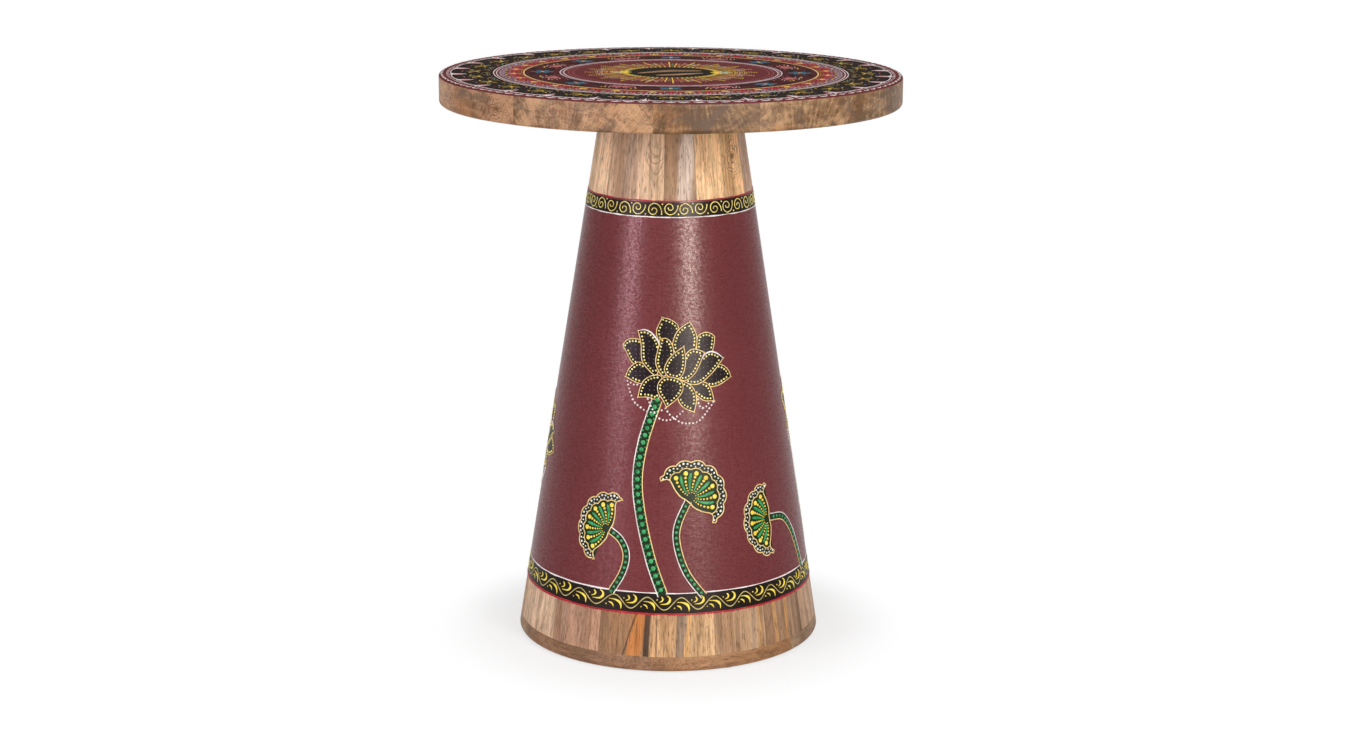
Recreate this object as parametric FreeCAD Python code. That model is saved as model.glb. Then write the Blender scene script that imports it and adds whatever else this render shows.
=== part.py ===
import FreeCAD, Part
import math
import os

# Round pedestal side table in mango wood, in millimetres.
# A round top of glued boards is bolted to a hollow cone of glued staves,
# which stands on a segmented plinth ring with felt pads under it.
# The origin is on the floor at the middle of the foot, +Z is up, and -Y is the front.

# Tabletop
TABLE_HEIGHT = 500.0
TOP_DIAMETER = 400.0
TOP_THICKNESS = 25.0
TOP_UPPER_EDGE_ROUND = 2.5
TOP_LOWER_EDGE_ROUND = 3.0
# The boards run front to back; the first and the last board fill out the round.
FIRST_SEAM_X = -127.0
INNER_BOARD_WIDTHS = (113.0, 85.0, 70.0)

# Dowels across the board seams
BOARD_DOWEL_DIAMETER = 8.0
BOARD_DOWEL_LENGTH = 40.0
BOARD_DOWEL_SPREAD = 0.55  # distance from the seam's middle, as a share of half the seam

# Coopered cone
NECK_DIAMETER = 120.0  # outside, under the tabletop
FOOT_DIAMETER = 270.0  # outside, where the slope would meet the floor
STAVE_COUNT = 16
STAVE_WALL = 18.0  # level thickness at the middle of a stave
FIRST_STAVE_SEAM_ANGLE = -4.5  # degrees from the front, towards +X

# Plinth ring
RING_HEIGHT = 13.0
RING_WIDTH = 26.0
RING_SEGMENT_COUNT = 6
FIRST_RING_SEAM_ANGLE = -6.0
RING_EDGE_ROUND = 3.0

# Dowels from the plinth ring up into the staves
STAVE_DOWEL_DIAMETER = 6.0
STAVE_DOWEL_IN_RING = 8.0
STAVE_DOWEL_IN_STAVE = 15.0

# Felt pads, let into the plinth ring
PAD_DIAMETER = 16.0
PAD_THICKNESS = 3.0
PAD_STANDS_PROUD = 1.0

# Neck block and the bolts that hold the tabletop
BLOCK_HEIGHT = 35.0
BOLT_COUNT = 4
BOLT_CIRCLE_DIAMETER = 52.0
BOLT_DIAMETER = 6.0
BOLT_HEAD_DIAMETER = 10.0
BOLT_HEAD_HEIGHT = 6.0
BOLT_SOCKET_ACROSS_FLATS = 5.0
BOLT_SOCKET_DEPTH = 3.0
BOLT_TIP_SPARE = 1.0  # how far the tip stops below the end of the insert
WASHER_DIAMETER = 18.0
WASHER_THICKNESS = 1.6
INSERT_DIAMETER = 10.0
INSERT_LENGTH = 13.0

# Clearances, on the radius
DOWEL_CLEARANCE = 0.1
PAD_CLEARANCE = 0.3
BOLT_HOLE_CLEARANCE = 0.5
INSERT_CLEARANCE = 0.1
THREAD_CLEARANCE = 0.05
INSERT_HOLE_SPARE_DEPTH = 2.0

# Values that follow from the driving dimensions
TOP_RADIUS = TOP_DIAMETER / 2
TOP_UNDERSIDE = TABLE_HEIGHT - TOP_THICKNESS
RING_UNDERSIDE = PAD_STANDS_PROUD
RING_TOP = RING_UNDERSIDE + RING_HEIGHT
FOOT_RADIUS = FOOT_DIAMETER / 2
RING_INNER_RADIUS = FOOT_RADIUS - RING_WIDTH
CONE_SLOPE = (NECK_DIAMETER - FOOT_DIAMETER) / 2 / TOP_UNDERSIDE
BLOCK_UNDERSIDE = TOP_UNDERSIDE - BLOCK_HEIGHT
WASHER_UNDERSIDE = BLOCK_UNDERSIDE - WASHER_THICKNESS
STAVE_STEP = 360.0 / STAVE_COUNT
RING_STEP = 360.0 / RING_SEGMENT_COUNT
Z_AXIS = FreeCAD.Vector(0, 0, 1)
ORIGIN = FreeCAD.Vector(0, 0, 0)


def outer_radius(height):
    """Outside radius of the cone at a height above the floor."""
    return FOOT_RADIUS + CONE_SLOPE * height


def around(radius, angle, height=0.0):
    """Point at a radius, with the angle in degrees from the front towards +X."""
    turn = math.radians(angle)
    return FreeCAD.Vector(radius * math.sin(turn), -radius * math.cos(turn), height)


def rod(diameter, length, base, direction=Z_AXIS):
    return Part.makeCylinder(diameter / 2, length, base, direction)


def wedge(first_angle, step, reach, height):
    """Upright slice of a circle, used to part a ring into its pieces."""
    corners = [ORIGIN, around(reach, first_angle), around(reach, first_angle + step)]
    face = Part.Face(Part.makePolygon(corners + [ORIGIN]))
    return face.extrude(Z_AXIS * height)


def turned(shape, angle):
    copy = shape.copy()
    copy.rotate(ORIGIN, Z_AXIS, angle)
    return copy


def polygon_frustum(low, high):
    """Solid inside the flat inner faces of the staves, from one height to another."""

    def ring(height):
        corner = (outer_radius(height) - STAVE_WALL) / math.cos(math.pi / STAVE_COUNT)
        seams = [FIRST_STAVE_SEAM_ANGLE + STAVE_STEP * i for i in range(STAVE_COUNT + 1)]
        return Part.makePolygon([around(corner, seam, height) for seam in seams])

    return Part.makeLoft([ring(low), ring(high)], True, True)


def bolt_places(height):
    step = 360.0 / BOLT_COUNT
    return [around(BOLT_CIRCLE_DIAMETER / 2, step * i, height) for i in range(BOLT_COUNT)]


def stave_dowel_places(height):
    middle = outer_radius(RING_TOP) - STAVE_WALL / 2
    first = FIRST_STAVE_SEAM_ANGLE + STAVE_STEP / 2
    return [around(middle, first + STAVE_STEP * i, height) for i in range(STAVE_COUNT)]


def pad_places(height):
    first = FIRST_RING_SEAM_ANGLE + RING_STEP / 2
    middle = FOOT_RADIUS - RING_WIDTH / 2
    return [around(middle, first + RING_STEP * i, height) for i in range(RING_SEGMENT_COUNT)]


def board_seams():
    seams = [FIRST_SEAM_X]
    for width in INNER_BOARD_WIDTHS:
        seams.append(seams[-1] + width)
    return seams


def board_dowel_places():
    """Starting end of each dowel: two in every seam, halfway up the boards."""
    height = TOP_UNDERSIDE + TOP_THICKNESS / 2
    places = []
    for seam in board_seams():
        reach = BOARD_DOWEL_SPREAD * math.sqrt(TOP_RADIUS**2 - seam**2)
        for y in (-reach, reach):
            places.append(FreeCAD.Vector(seam - BOARD_DOWEL_LENGTH / 2, y, height))
    return places


def round_edge(solid, radius, height):
    """Rounds the longest level edge at a height."""
    near = 1e-6
    level = [e for e in solid.Edges if e.BoundBox.ZLength < near]
    there = [e for e in level if abs(e.BoundBox.ZMin - height) < near]
    return solid.makeFillet(radius, [max(there, key=lambda e: e.Length)])


def make_boards():
    """Round top sawn from five glued boards, drilled for dowels and threaded inserts."""
    disc = rod(TOP_DIAMETER, TOP_THICKNESS, Z_AXIS * TOP_UNDERSIDE)
    disc = round_edge(disc, TOP_UPPER_EDGE_ROUND, TABLE_HEIGHT)
    disc = round_edge(disc, TOP_LOWER_EDGE_ROUND, TOP_UNDERSIDE)
    x_axis = FreeCAD.Vector(1, 0, 0)
    dowel_hole = BOARD_DOWEL_DIAMETER + 2 * DOWEL_CLEARANCE
    insert_hole = INSERT_DIAMETER + 2 * INSERT_CLEARANCE
    holes = [rod(dowel_hole, BOARD_DOWEL_LENGTH, p, x_axis) for p in board_dowel_places()]
    hole_depth = INSERT_LENGTH + INSERT_HOLE_SPARE_DEPTH
    holes += [rod(insert_hole, hole_depth, p) for p in bolt_places(TOP_UNDERSIDE)]
    sides = [-TOP_DIAMETER, *board_seams(), TOP_DIAMETER]
    boards = []
    for left, right in zip(sides, sides[1:]):
        corner = FreeCAD.Vector(left, -TOP_DIAMETER, 0)
        slab = Part.makeBox(right - left, 2 * TOP_DIAMETER, 2 * TABLE_HEIGHT, corner)
        boards.append(disc.common(slab).cut(Part.makeCompound(holes)))
    return boards


def make_board_dowels():
    x_axis = FreeCAD.Vector(1, 0, 0)
    return [rod(BOARD_DOWEL_DIAMETER, BOARD_DOWEL_LENGTH, p, x_axis) for p in board_dowel_places()]


def make_staves():
    """Tapered staves: turned outside, flat inside, mitred along their glued edges."""
    length = TOP_UNDERSIDE - RING_TOP
    cone = Part.makeCone(outer_radius(RING_TOP), outer_radius(TOP_UNDERSIDE), length, Z_AXIS * RING_TOP)
    shell = cone.cut(polygon_frustum(RING_TOP, TOP_UNDERSIDE))
    slice_ = wedge(FIRST_STAVE_SEAM_ANGLE, STAVE_STEP, FOOT_DIAMETER, TABLE_HEIGHT)
    stave = shell.common(slice_)
    hole = STAVE_DOWEL_DIAMETER + 2 * DOWEL_CLEARANCE
    stave = stave.cut(rod(hole, STAVE_DOWEL_IN_STAVE, stave_dowel_places(RING_TOP)[0]))
    return [turned(stave, STAVE_STEP * i) for i in range(STAVE_COUNT)]


def make_ring_segments():
    """Plinth ring that carries on the slope of the cone, in curved segments."""
    outside = Part.makeCone(
        outer_radius(RING_UNDERSIDE), outer_radius(RING_TOP), RING_HEIGHT, Z_AXIS * RING_UNDERSIDE
    )
    outside = round_edge(outside, RING_EDGE_ROUND, RING_UNDERSIDE)
    ring = outside.cut(rod(2 * RING_INNER_RADIUS, TABLE_HEIGHT, ORIGIN))
    dowel_hole = STAVE_DOWEL_DIAMETER + 2 * DOWEL_CLEARANCE
    pad_hole = PAD_DIAMETER + 2 * PAD_CLEARANCE
    dowel_foot = RING_TOP - STAVE_DOWEL_IN_RING
    holes = [rod(dowel_hole, STAVE_DOWEL_IN_RING, p) for p in stave_dowel_places(dowel_foot)]
    holes += [rod(pad_hole, PAD_THICKNESS, p) for p in pad_places(0.0)]
    segments = []
    for i in range(RING_SEGMENT_COUNT):
        slice_ = wedge(FIRST_RING_SEAM_ANGLE + RING_STEP * i, RING_STEP, FOOT_DIAMETER, TABLE_HEIGHT)
        segments.append(ring.common(slice_).cut(Part.makeCompound(holes)))
    return segments


def make_stave_dowels():
    length = STAVE_DOWEL_IN_RING + STAVE_DOWEL_IN_STAVE
    foot = RING_TOP - STAVE_DOWEL_IN_RING
    return [rod(STAVE_DOWEL_DIAMETER, length, p) for p in stave_dowel_places(foot)]


def make_neck_block():
    """Block with as many sides as there are staves, glued inside the neck and drilled for bolts."""
    block = polygon_frustum(BLOCK_UNDERSIDE, TOP_UNDERSIDE)
    hole = BOLT_DIAMETER + 2 * BOLT_HOLE_CLEARANCE
    for place in bolt_places(BLOCK_UNDERSIDE):
        block = block.cut(rod(hole, BLOCK_HEIGHT, place))
    return block


def hexagon_prism(across_flats, length, base):
    corner = across_flats / math.sqrt(3)
    corners = [base + around(corner, 60.0 * i) for i in range(7)]
    return Part.Face(Part.makePolygon(corners)).extrude(Z_AXIS * length)


def make_bolts():
    """Socket-head bolts, pushed up through washers and the neck block into the inserts."""
    shank_length = TOP_UNDERSIDE + INSERT_LENGTH - BOLT_TIP_SPARE - WASHER_UNDERSIDE
    head_underside = WASHER_UNDERSIDE - BOLT_HEAD_HEIGHT
    bolts = []
    for place in bolt_places(0.0):
        head = rod(BOLT_HEAD_DIAMETER, BOLT_HEAD_HEIGHT, place + Z_AXIS * head_underside)
        shank = rod(BOLT_DIAMETER, shank_length, place + Z_AXIS * WASHER_UNDERSIDE)
        socket = hexagon_prism(BOLT_SOCKET_ACROSS_FLATS, BOLT_SOCKET_DEPTH, place + Z_AXIS * head_underside)
        bolts.append(head.cut(socket).fuse(shank).removeSplitter())
    return bolts


def make_washers():
    hole = BOLT_DIAMETER + 2 * BOLT_HOLE_CLEARANCE
    washers = []
    for place in bolt_places(WASHER_UNDERSIDE):
        disc = rod(WASHER_DIAMETER, WASHER_THICKNESS, place)
        washers.append(disc.cut(rod(hole, WASHER_THICKNESS, place)))
    return washers


def make_inserts():
    bore = BOLT_DIAMETER + 2 * THREAD_CLEARANCE
    inserts = []
    for place in bolt_places(TOP_UNDERSIDE):
        sleeve = rod(INSERT_DIAMETER, INSERT_LENGTH, place)
        inserts.append(sleeve.cut(rod(bore, INSERT_LENGTH, place)))
    return inserts


def make_pads():
    return [rod(PAD_DIAMETER, PAD_THICKNESS, p) for p in pad_places(0.0)]


def save(name, solids):
    shape = Part.makeCompound([s for piece in solids for s in piece.Solids])
    for solid in shape.Solids:
        assert solid.isValid() and solid.Volume > 0, name
    shape.exportStep(os.path.join("parts", name + ".step"))
    print(name, len(shape.Solids), "solids,", round(shape.Volume / 1000, 2), "cm3")


def save_each(name, pieces):
    for number, piece in enumerate(pieces, 1):
        save(f"{name}_{number:02d}", [piece])


os.makedirs("parts", exist_ok=True)
save_each("top_board", make_boards())
save("board_dowels", make_board_dowels())
save_each("stave", make_staves())
save_each("ring_segment", make_ring_segments())
save("stave_dowels", make_stave_dowels())
save("neck_block", [make_neck_block()])
save("top_bolts", make_bolts())
save("bolt_washers", make_washers())
save("threaded_inserts", make_inserts())
save("felt_pads", make_pads())
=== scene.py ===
import math
import random

import bmesh
import bpy
from mathutils import Matrix, Vector, noise


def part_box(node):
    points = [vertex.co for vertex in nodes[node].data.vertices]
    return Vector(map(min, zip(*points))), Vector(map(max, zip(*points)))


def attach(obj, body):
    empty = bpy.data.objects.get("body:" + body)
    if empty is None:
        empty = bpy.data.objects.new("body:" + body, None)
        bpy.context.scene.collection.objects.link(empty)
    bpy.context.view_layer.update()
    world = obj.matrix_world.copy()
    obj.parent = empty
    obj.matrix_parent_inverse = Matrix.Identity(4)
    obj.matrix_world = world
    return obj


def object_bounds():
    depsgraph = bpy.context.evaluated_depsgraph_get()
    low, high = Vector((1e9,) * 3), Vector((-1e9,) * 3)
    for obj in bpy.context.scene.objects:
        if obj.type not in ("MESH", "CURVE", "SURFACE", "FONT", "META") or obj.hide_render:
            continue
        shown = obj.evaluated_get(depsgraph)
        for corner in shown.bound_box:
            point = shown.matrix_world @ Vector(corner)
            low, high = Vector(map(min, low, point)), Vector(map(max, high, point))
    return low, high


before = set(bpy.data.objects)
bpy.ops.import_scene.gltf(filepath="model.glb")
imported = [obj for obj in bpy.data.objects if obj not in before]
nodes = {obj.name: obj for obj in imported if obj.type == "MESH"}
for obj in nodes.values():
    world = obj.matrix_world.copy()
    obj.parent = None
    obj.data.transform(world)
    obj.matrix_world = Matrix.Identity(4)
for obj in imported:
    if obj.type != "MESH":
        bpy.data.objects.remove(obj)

cad_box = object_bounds()

# Felt pads
# Six discs of pressed brown felt that keep the plinth just off the floor.
# Each is glued into a shallow hole bored in the underside of a plinth segment.


def srgb(red, green, blue):
    """A colour as a screen shows it, 0 to 255, as the linear values that a shader takes."""
    shares = [value / 255 for value in (red, green, blue)]
    return [s / 12.92 if s <= 0.04045 else ((s + 0.055) / 1.055) ** 2.4 for s in shares] + [1.0]


def new_finish(name, **sockets):
    """A node material with plain values set on its shader's own sockets."""
    finish = bpy.data.materials.new(name)
    finish.use_nodes = True
    put(finish, **sockets)
    return finish


def feed(finish, socket, value):
    """Links a node's output to a socket, or sets a plain value on it."""
    if isinstance(value, bpy.types.NodeSocket):
        finish.node_tree.links.new(value, socket)
    else:
        socket.default_value = value


def put(finish, **sockets):
    """Feeds the shader of a finish."""
    shader = finish.node_tree.nodes["Principled BSDF"]
    for socket, value in sockets.items():
        feed(finish, shader.inputs[socket.replace("_", " ")], value)


def add(finish, kind, inputs, output=0, **options):
    """Adds a node, feeds its inputs by name or place, and gives one of its outputs."""
    made = finish.node_tree.nodes.new("ShaderNode" + kind)
    for option, value in options.items():
        setattr(made, option, value)
    for socket, value in inputs.items():
        feed(finish, made.inputs[socket], value)
    return made.outputs[output]


def place_on(finish, vector=None, move=(0, 0, 0), turn=(0, 0, 0), scale=(1, 1, 1)):
    """Coordinates of the piece itself in metres, or a given vector, moved, turned and stretched."""
    if vector is None:
        vector = add(finish, "TexCoord", {}, "Object")
    return add(finish, "Mapping", {"Vector": vector, "Location": move, "Rotation": turn, "Scale": scale})


def cloud(finish, vector, scale, detail=2.0, rough=0.5, twist=0.0):
    """Soft noise from 0 to 1."""
    inputs = {"Vector": vector, "Scale": scale, "Detail": detail, "Roughness": rough, "Distortion": twist}
    return add(finish, "TexNoise", inputs)


def mix(finish, share, first, second):
    return add(finish, "MixRGB", {"Fac": share, "Color1": first, "Color2": second})


def bump(finish, height, distance):
    return add(finish, "Bump", {"Height": height, "Distance": distance, "Strength": 1.0})


def dress(finish, *names):
    """Gives a finish to parts of the frame."""
    for name in names:
        slots = nodes[name].data.materials
        slots.clear()
        slots.append(finish)


FELT_TONES = srgb(44, 36, 30), srgb(96, 82, 70)
FELT_HAIRS = 1900  # to the metre
FELT_NAP = 0.0006


def felt():
    finish = new_finish("pressed_felt", Roughness=0.95, Sheen_Weight=0.4)
    hairs = cloud(finish, place_on(finish), FELT_HAIRS, detail=5)
    put(finish, Base_Color=mix(finish, hairs, *FELT_TONES))
    put(finish, Normal=bump(finish, hairs, FELT_NAP))
    return finish


dress(felt(), "felt_pads")

# Plinth ring
# A low ring of six curved mango segments, butted end to end and sanded to the slope of the cone.
# Its grain lies level and it carries the staves; satin lacquer over bare wood.

PLINTH_SEGMENTS = 6
FIRST_PLINTH_MIDDLE = 24.0  # degrees from the front, towards +X
PLINTH_TINTS = ((146, 105, 71), (146, 117, 90), (138, 102, 75))
PLINTH_SEED = 40
WARM_PATCH = srgb(180, 120, 70)
DULL_PATCH = srgb(92, 72, 60)
OPEN_PORE = srgb(84, 58, 42)
KNOT_BROWN = srgb(104, 66, 42)
SEAM_BROWN = srgb(78, 54, 40)
LOG_STEP = (0.31, 0.17, 0.23)  # metres from the wood of one piece to that of the next
TINT_CHANGE = (0.1, 0.35)  # heights between which a stave changes its tint, under the paint
KNOT_CIRCLES = 2600  # radians to the metre
STREAK_WANDER = 0.012
FLAME_LINES = 820  # radians to the metre
FLAME_STEEP = 2.0
FLAME_TIP = 0.000012  # square of the radius at the tips, in metres
FLAME_WANDER = 0.018
FLAME_SIDES = (0.0065, 0.0100)  # where a flame starts to fade, and where it ends
FLAME_STRENGTH = 0.45
PORE_DEPTH = 0.00025


def span(finish, value, low, high, start=0.0, end=1.0):
    """Takes a value from one range to another, with soft ends."""
    inputs = {"Value": value, "From Min": low, "From Max": high, "To Min": start, "To Max": end}
    return add(finish, "MapRange", inputs, interpolation_type="SMOOTHSTEP")


def work(finish, operation, *values):
    """One sum on shader values."""
    return add(finish, "Math", dict(enumerate(values)), operation=operation)


def shaded(tint, share):
    """A wood tint, 0 to 255, made paler, or deeper and browner."""
    red, green, blue = tint
    return srgb(red * share, green * share ** 1.15, blue * share ** 1.35)


def toned(finish, share, tint, depth):
    """A wood tint that runs from deep to pale as a share goes from 0 to 1."""
    return mix(finish, share, shaded(tint, 1 - depth), shaded(tint, 1 + depth))


def axes_of(finish, vector):
    """The X, Y and Z of a vector."""
    parts = finish.node_tree.nodes.new("ShaderNodeSeparateXYZ")
    feed(finish, parts.inputs[0], vector)
    return parts.outputs


def length_of(finish, vector):
    return add(finish, "VectorMath", {0: vector}, "Value", operation="LENGTH")


def round_axis(finish, vector):
    """The angle round the table's axis, from the front towards +X."""
    axes = axes_of(finish, vector)
    return work(finish, "ARCTAN2", axes["X"], work(finish, "MULTIPLY", axes["Y"], -1.0))


def grain(finish, log, draw, scale, **more):
    """Soft noise drawn out along the grain."""
    return cloud(finish, place_on(finish, log, scale=(1, 1, draw)), scale, **more)


def wander(finish, value, noise_level, reach):
    """Pushes a value up by noise from 0 to 1, as far as its reach."""
    return work(finish, "MULTIPLY_ADD", noise_level, reach, value)


def ripples(finish, value, rate, low):
    """Soft lines across a growing value, at a rate in radians to the metre."""
    return span(finish, work(finish, "SINE", work(finish, "MULTIPLY", value, rate)), low, 1.0)


def end_grain(finish, local, log, pith):
    """Layers of tone about a pith (across, deep): rays that spread from it and rings that wander."""
    centre = place_on(finish, local, move=(-pith[0], -pith[1], 0), scale=(1, 1, 0))
    axes = axes_of(finish, centre)
    spread = work(finish, "ARCTAN2", axes["X"], work(finish, "ABSOLUTE", axes["Y"]))
    off = length_of(finish, centre)
    rays = add(finish, "CombineXYZ", {"X": spread, "Y": off})
    rings = add(finish, "CombineXYZ", {"X": wander(finish, off, cloud(finish, log, 25, detail=3), 0.02)})
    return [(1.0, cloud(finish, rays, 40, detail=3)), (0.8, cloud(finish, rings, 220, detail=1))]


def with_knot(finish, colour, local, place, radius, cut):
    """A dark knot with circles about it, seen in a cut across or along the grain."""
    move = [-at * stretch for at, stretch in zip(place, cut)]
    off = length_of(finish, place_on(finish, local, move=move, scale=cut))
    off = wander(finish, off, cloud(finish, local, 160, detail=2), 0.6 * radius)
    off = work(finish, "SUBTRACT", off, 0.3 * radius)
    fade = span(finish, off, 0.3 * radius, radius, 0.75, 0.0)
    halo = work(finish, "MULTIPLY", ripples(finish, off, KNOT_CIRCLES, 0.1), fade)
    core = span(finish, off, 0.04 * radius, 0.2 * radius, 0.85, 0.0)
    return mix(finish, work(finish, "MAXIMUM", core, halo), colour, KNOT_BROWN)


def with_streak(finish, colour, local, log, across, half, lean, strength, stripe):
    """A stripe of another colour along the grain, at a lean to it."""
    axes = axes_of(finish, local)
    off = work(finish, "MULTIPLY_ADD", axes["Z"], -lean, axes["X"])
    off = wander(finish, off, grain(finish, log, 0.04, 90, detail=3), STREAK_WANDER)
    off = work(finish, "ABSOLUTE", work(finish, "SUBTRACT", off, across + STREAK_WANDER / 2))
    return mix(finish, span(finish, off, 0.5 * half, 1.2 * half, strength, 0.0), colour, stripe)


def with_flame(finish, colour, local, across, low, tall):
    """A nest of V-shaped lines that open upwards, over a height from the lowest tip."""
    axes = axes_of(finish, place_on(finish, local, move=(-across, 0, -low)))
    side = work(finish, "SQRT", work(finish, "MULTIPLY_ADD", axes["X"], axes["X"], FLAME_TIP))
    rise = work(finish, "MULTIPLY_ADD", side, -FLAME_STEEP, axes["Z"])
    rise = wander(finish, rise, cloud(finish, local, 120, detail=3), FLAME_WANDER)
    nest = ripples(finish, rise, FLAME_LINES, 0.3)
    for limit in (
        span(finish, rise, 0.0, 0.003),
        span(finish, side, *FLAME_SIDES, FLAME_STRENGTH, 0.0),
        span(finish, axes["Z"], 0.7 * tall, tall, 1.0, 0.0),
    ):
        nest = work(finish, "MULTIPLY", nest, limit)
    return mix(finish, nest, colour, KNOT_BROWN)


def mango(name, tint, seed, turns, foot=None, patch=30, figure=0.8, curl=0.5, heat=0.25, soot=0.15,
          fine=1.0, depth=0.2, pith=None, knots=(), cut=(1, 1, 0), streaks=(), flame=None, seam=None):
    """Mango wood as a solid, with its grain turned to local Z: bands, fibres, pores and patches.

    The tint turns into that of the foot below the paint. A knot is (place, radius), a streak is (across,
    half width, lean, strength, tint), a flame is (across, lowest tip, height), and a seam is half the angle
    that a stave spans."""
    finish = new_finish(name, Coat_Weight=0.03, Coat_Roughness=0.3, Specular_IOR_Level=0.08)
    frames = [place_on(finish)]
    for turn in turns:
        frames.append(place_on(finish, frames[-1], turn=turn))
    local = frames[-1]
    log = place_on(finish, local, move=[step * seed for step in LOG_STEP])
    fibre = grain(finish, log, 0.03, 900, detail=3, rough=0.7)
    layers = [
        (0.9, grain(finish, log, 0.04, 48, twist=curl)),
        (1.1 * fine, grain(finish, log, 0.04, 190, detail=4, rough=0.65, twist=curl)),
        (1.0 * fine, fibre),
        (figure, grain(finish, log, 0.5, patch, detail=5, rough=0.62, twist=2.2 * curl)),
    ]
    if pith is not None:
        layers += end_grain(finish, local, log, pith)
    tone = 0.5 - 0.5 * sum(weight for weight, _ in layers)
    for weight, layer in layers:
        tone = work(finish, "MULTIPLY_ADD", layer, weight, tone)
    share = span(finish, tone, 0.1, 0.9)
    colour = toned(finish, share, tint, depth)
    if foot is not None:
        height = axes_of(finish, frames[0])["Z"]
        colour = mix(finish, span(finish, height, *TINT_CHANGE), toned(finish, share, foot, depth), colour)
    warm = grain(finish, log, 0.2, 17, detail=6, rough=0.65, twist=curl)
    colour = mix(finish, span(finish, warm, 0.46, 0.66, 0.0, heat), colour, WARM_PATCH)
    dull = grain(finish, log, 0.16, 34, detail=7, rough=0.72, twist=curl)
    colour = mix(finish, span(finish, dull, 0.48, 0.62, 0.0, soot), colour, DULL_PATCH)
    for place, radius in knots:
        colour = with_knot(finish, colour, local, place, radius, cut)
    for *sizes, stripe in streaks:
        colour = with_streak(finish, colour, local, log, *sizes, toned(finish, share, stripe, depth))
    if flame is not None:
        colour = with_flame(finish, colour, local, *flame)
    open_pores = span(finish, grain(finish, log, 0.11, 1250, detail=1), 0.58, 0.68)
    colour = mix(finish, work(finish, "MULTIPLY", open_pores, 0.55 * fine), colour, OPEN_PORE)
    if seam is not None:
        angle = work(finish, "ABSOLUTE", round_axis(finish, frames[1]))
        colour = mix(finish, span(finish, angle, seam - 0.006, seam - 0.001, 0.0, 0.5), colour, SEAM_BROWN)
    put(finish, Base_Color=colour)
    put(finish, Roughness=span(finish, fibre, 0.3, 0.7, 0.4, 0.55))
    put(finish, Normal=bump(finish, work(finish, "MULTIPLY_ADD", open_pores, -0.8, fibre), PORE_DEPTH))
    return finish


for number in range(PLINTH_SEGMENTS):
    middle = math.radians(FIRST_PLINTH_MIDDLE + 360.0 / PLINTH_SEGMENTS * number)
    level = [(0, 0, -middle), (0, -math.pi / 2, 0)]
    tint = PLINTH_TINTS[number % len(PLINTH_TINTS)]
    finish = mango(f"plinth_mango_{number}", tint, PLINTH_SEED + number, level)
    dress(finish, f"ring_segment_{number + 1:02d}")

# Dowels
# Plain birch pegs glued half into one piece and half into the next, out of sight.
# One stands under each stave, and others join the boards of the top.

BIRCH_TINT = (208, 180, 140)
dress(mango("dowel_birch", BIRCH_TINT, seed=3, turns=[], soot=0.05), "stave_dowels", "board_dowels")

# Coopered cone
# Sixteen tapered mango staves glued edge to edge and turned to a smooth cone.
# The wood is bare under satin lacquer at the neck and the foot, and painted between.

STAVES = 16
FIRST_STAVE_MIDDLE = 6.75  # degrees from the front, towards +X
STAVE_SLOPE = 0.075 / 0.475  # how far the cone draws in over its height, both in metres
# The colour of each stave at the neck and at the foot.
STAVE_TINTS = (
    ((149, 115, 84), (196, 154, 110)), ((248, 202, 150), (170, 134, 101)),
    ((226, 178, 128), (148, 115, 88)), ((190, 155, 130), (172, 136, 106)),
    ((182, 146, 118), (190, 152, 120)), ((204, 164, 122), (178, 140, 108)),
    ((176, 138, 108), (196, 156, 122)), ((208, 168, 126), (168, 128, 98)),
    ((194, 158, 130), (188, 150, 118)), ((202, 162, 120), (176, 136, 104)),
    ((180, 142, 112), (200, 160, 124)), ((206, 166, 126), (170, 132, 100)),
    ((226, 189, 154), (220, 181, 146)), ((240, 201, 163), (206, 170, 139)),
    ((203, 166, 136), (173, 132, 105)), ((212, 175, 139), (141, 105, 73)),
)
HEARTWOOD = (172, 106, 52)
BARK_LINE = (46, 34, 28)
GREY_LINE = (124, 106, 92)
GOLD_LINE = (208, 150, 76)
# A pale grey that paints the right sheen's highlight onto the lacquered neck of stave 1: painted highlight,
# not sapwood.
PAINTED_SHEEN_GREY = (212, 188, 168)
PALE_EDGE = (216, 167, 118)
# Stripes, knots and V-shaped figures of single staves, in metres: across from the middle of the stave, and
# up along it.
STAVE_STREAKS = {
    1: [
        (-0.0041, 0.0040, 0.09, 0.75, GREY_LINE), (0.0012, 0.0016, 0.09, 0.5, GOLD_LINE),
        # Painted highlight: a pale grey stripe up the right half of stave 1 at the neck, where the right
        # sheen falls.
        (-0.0355, 0.0070, 0.10, 0.75, PAINTED_SHEEN_GREY),
    ],
    2: [(0.0117, 0.0022, 0.05, 0.4, GREY_LINE), (0.0190, 0.0018, 0.02, 0.6, GOLD_LINE)],
    3: [(0.0023, 0.0024, 0.06, 0.5, GOLD_LINE), (-0.0120, 0.0022, -0.05, 0.4, GOLD_LINE)],
    7: [(-0.0080, 0.0060, -0.02, 0.7, HEARTWOOD)],
    11: [(0.0040, 0.0030, 0.00, 0.6, GREY_LINE)],
    15: [(-0.0132, 0.0030, 0.05, 0.35, GREY_LINE)],
    16: [
        (0.0073, 0.0080, 0.154, 0.9, HEARTWOOD), (-0.0016, 0.0010, 0.294, 0.7, BARK_LINE),
        (0.0240, 0.0050, 0.020, 0.7, PALE_EDGE), (0.0175, 0.0020, 0.017, 0.85, BARK_LINE),
    ],
}
STAVE_KNOTS = {3: [((0.0, 0.0, 0.417), 0.015)]}
STAVE_FLAMES = {16: (0.0055, 0.399, 0.034)}

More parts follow.
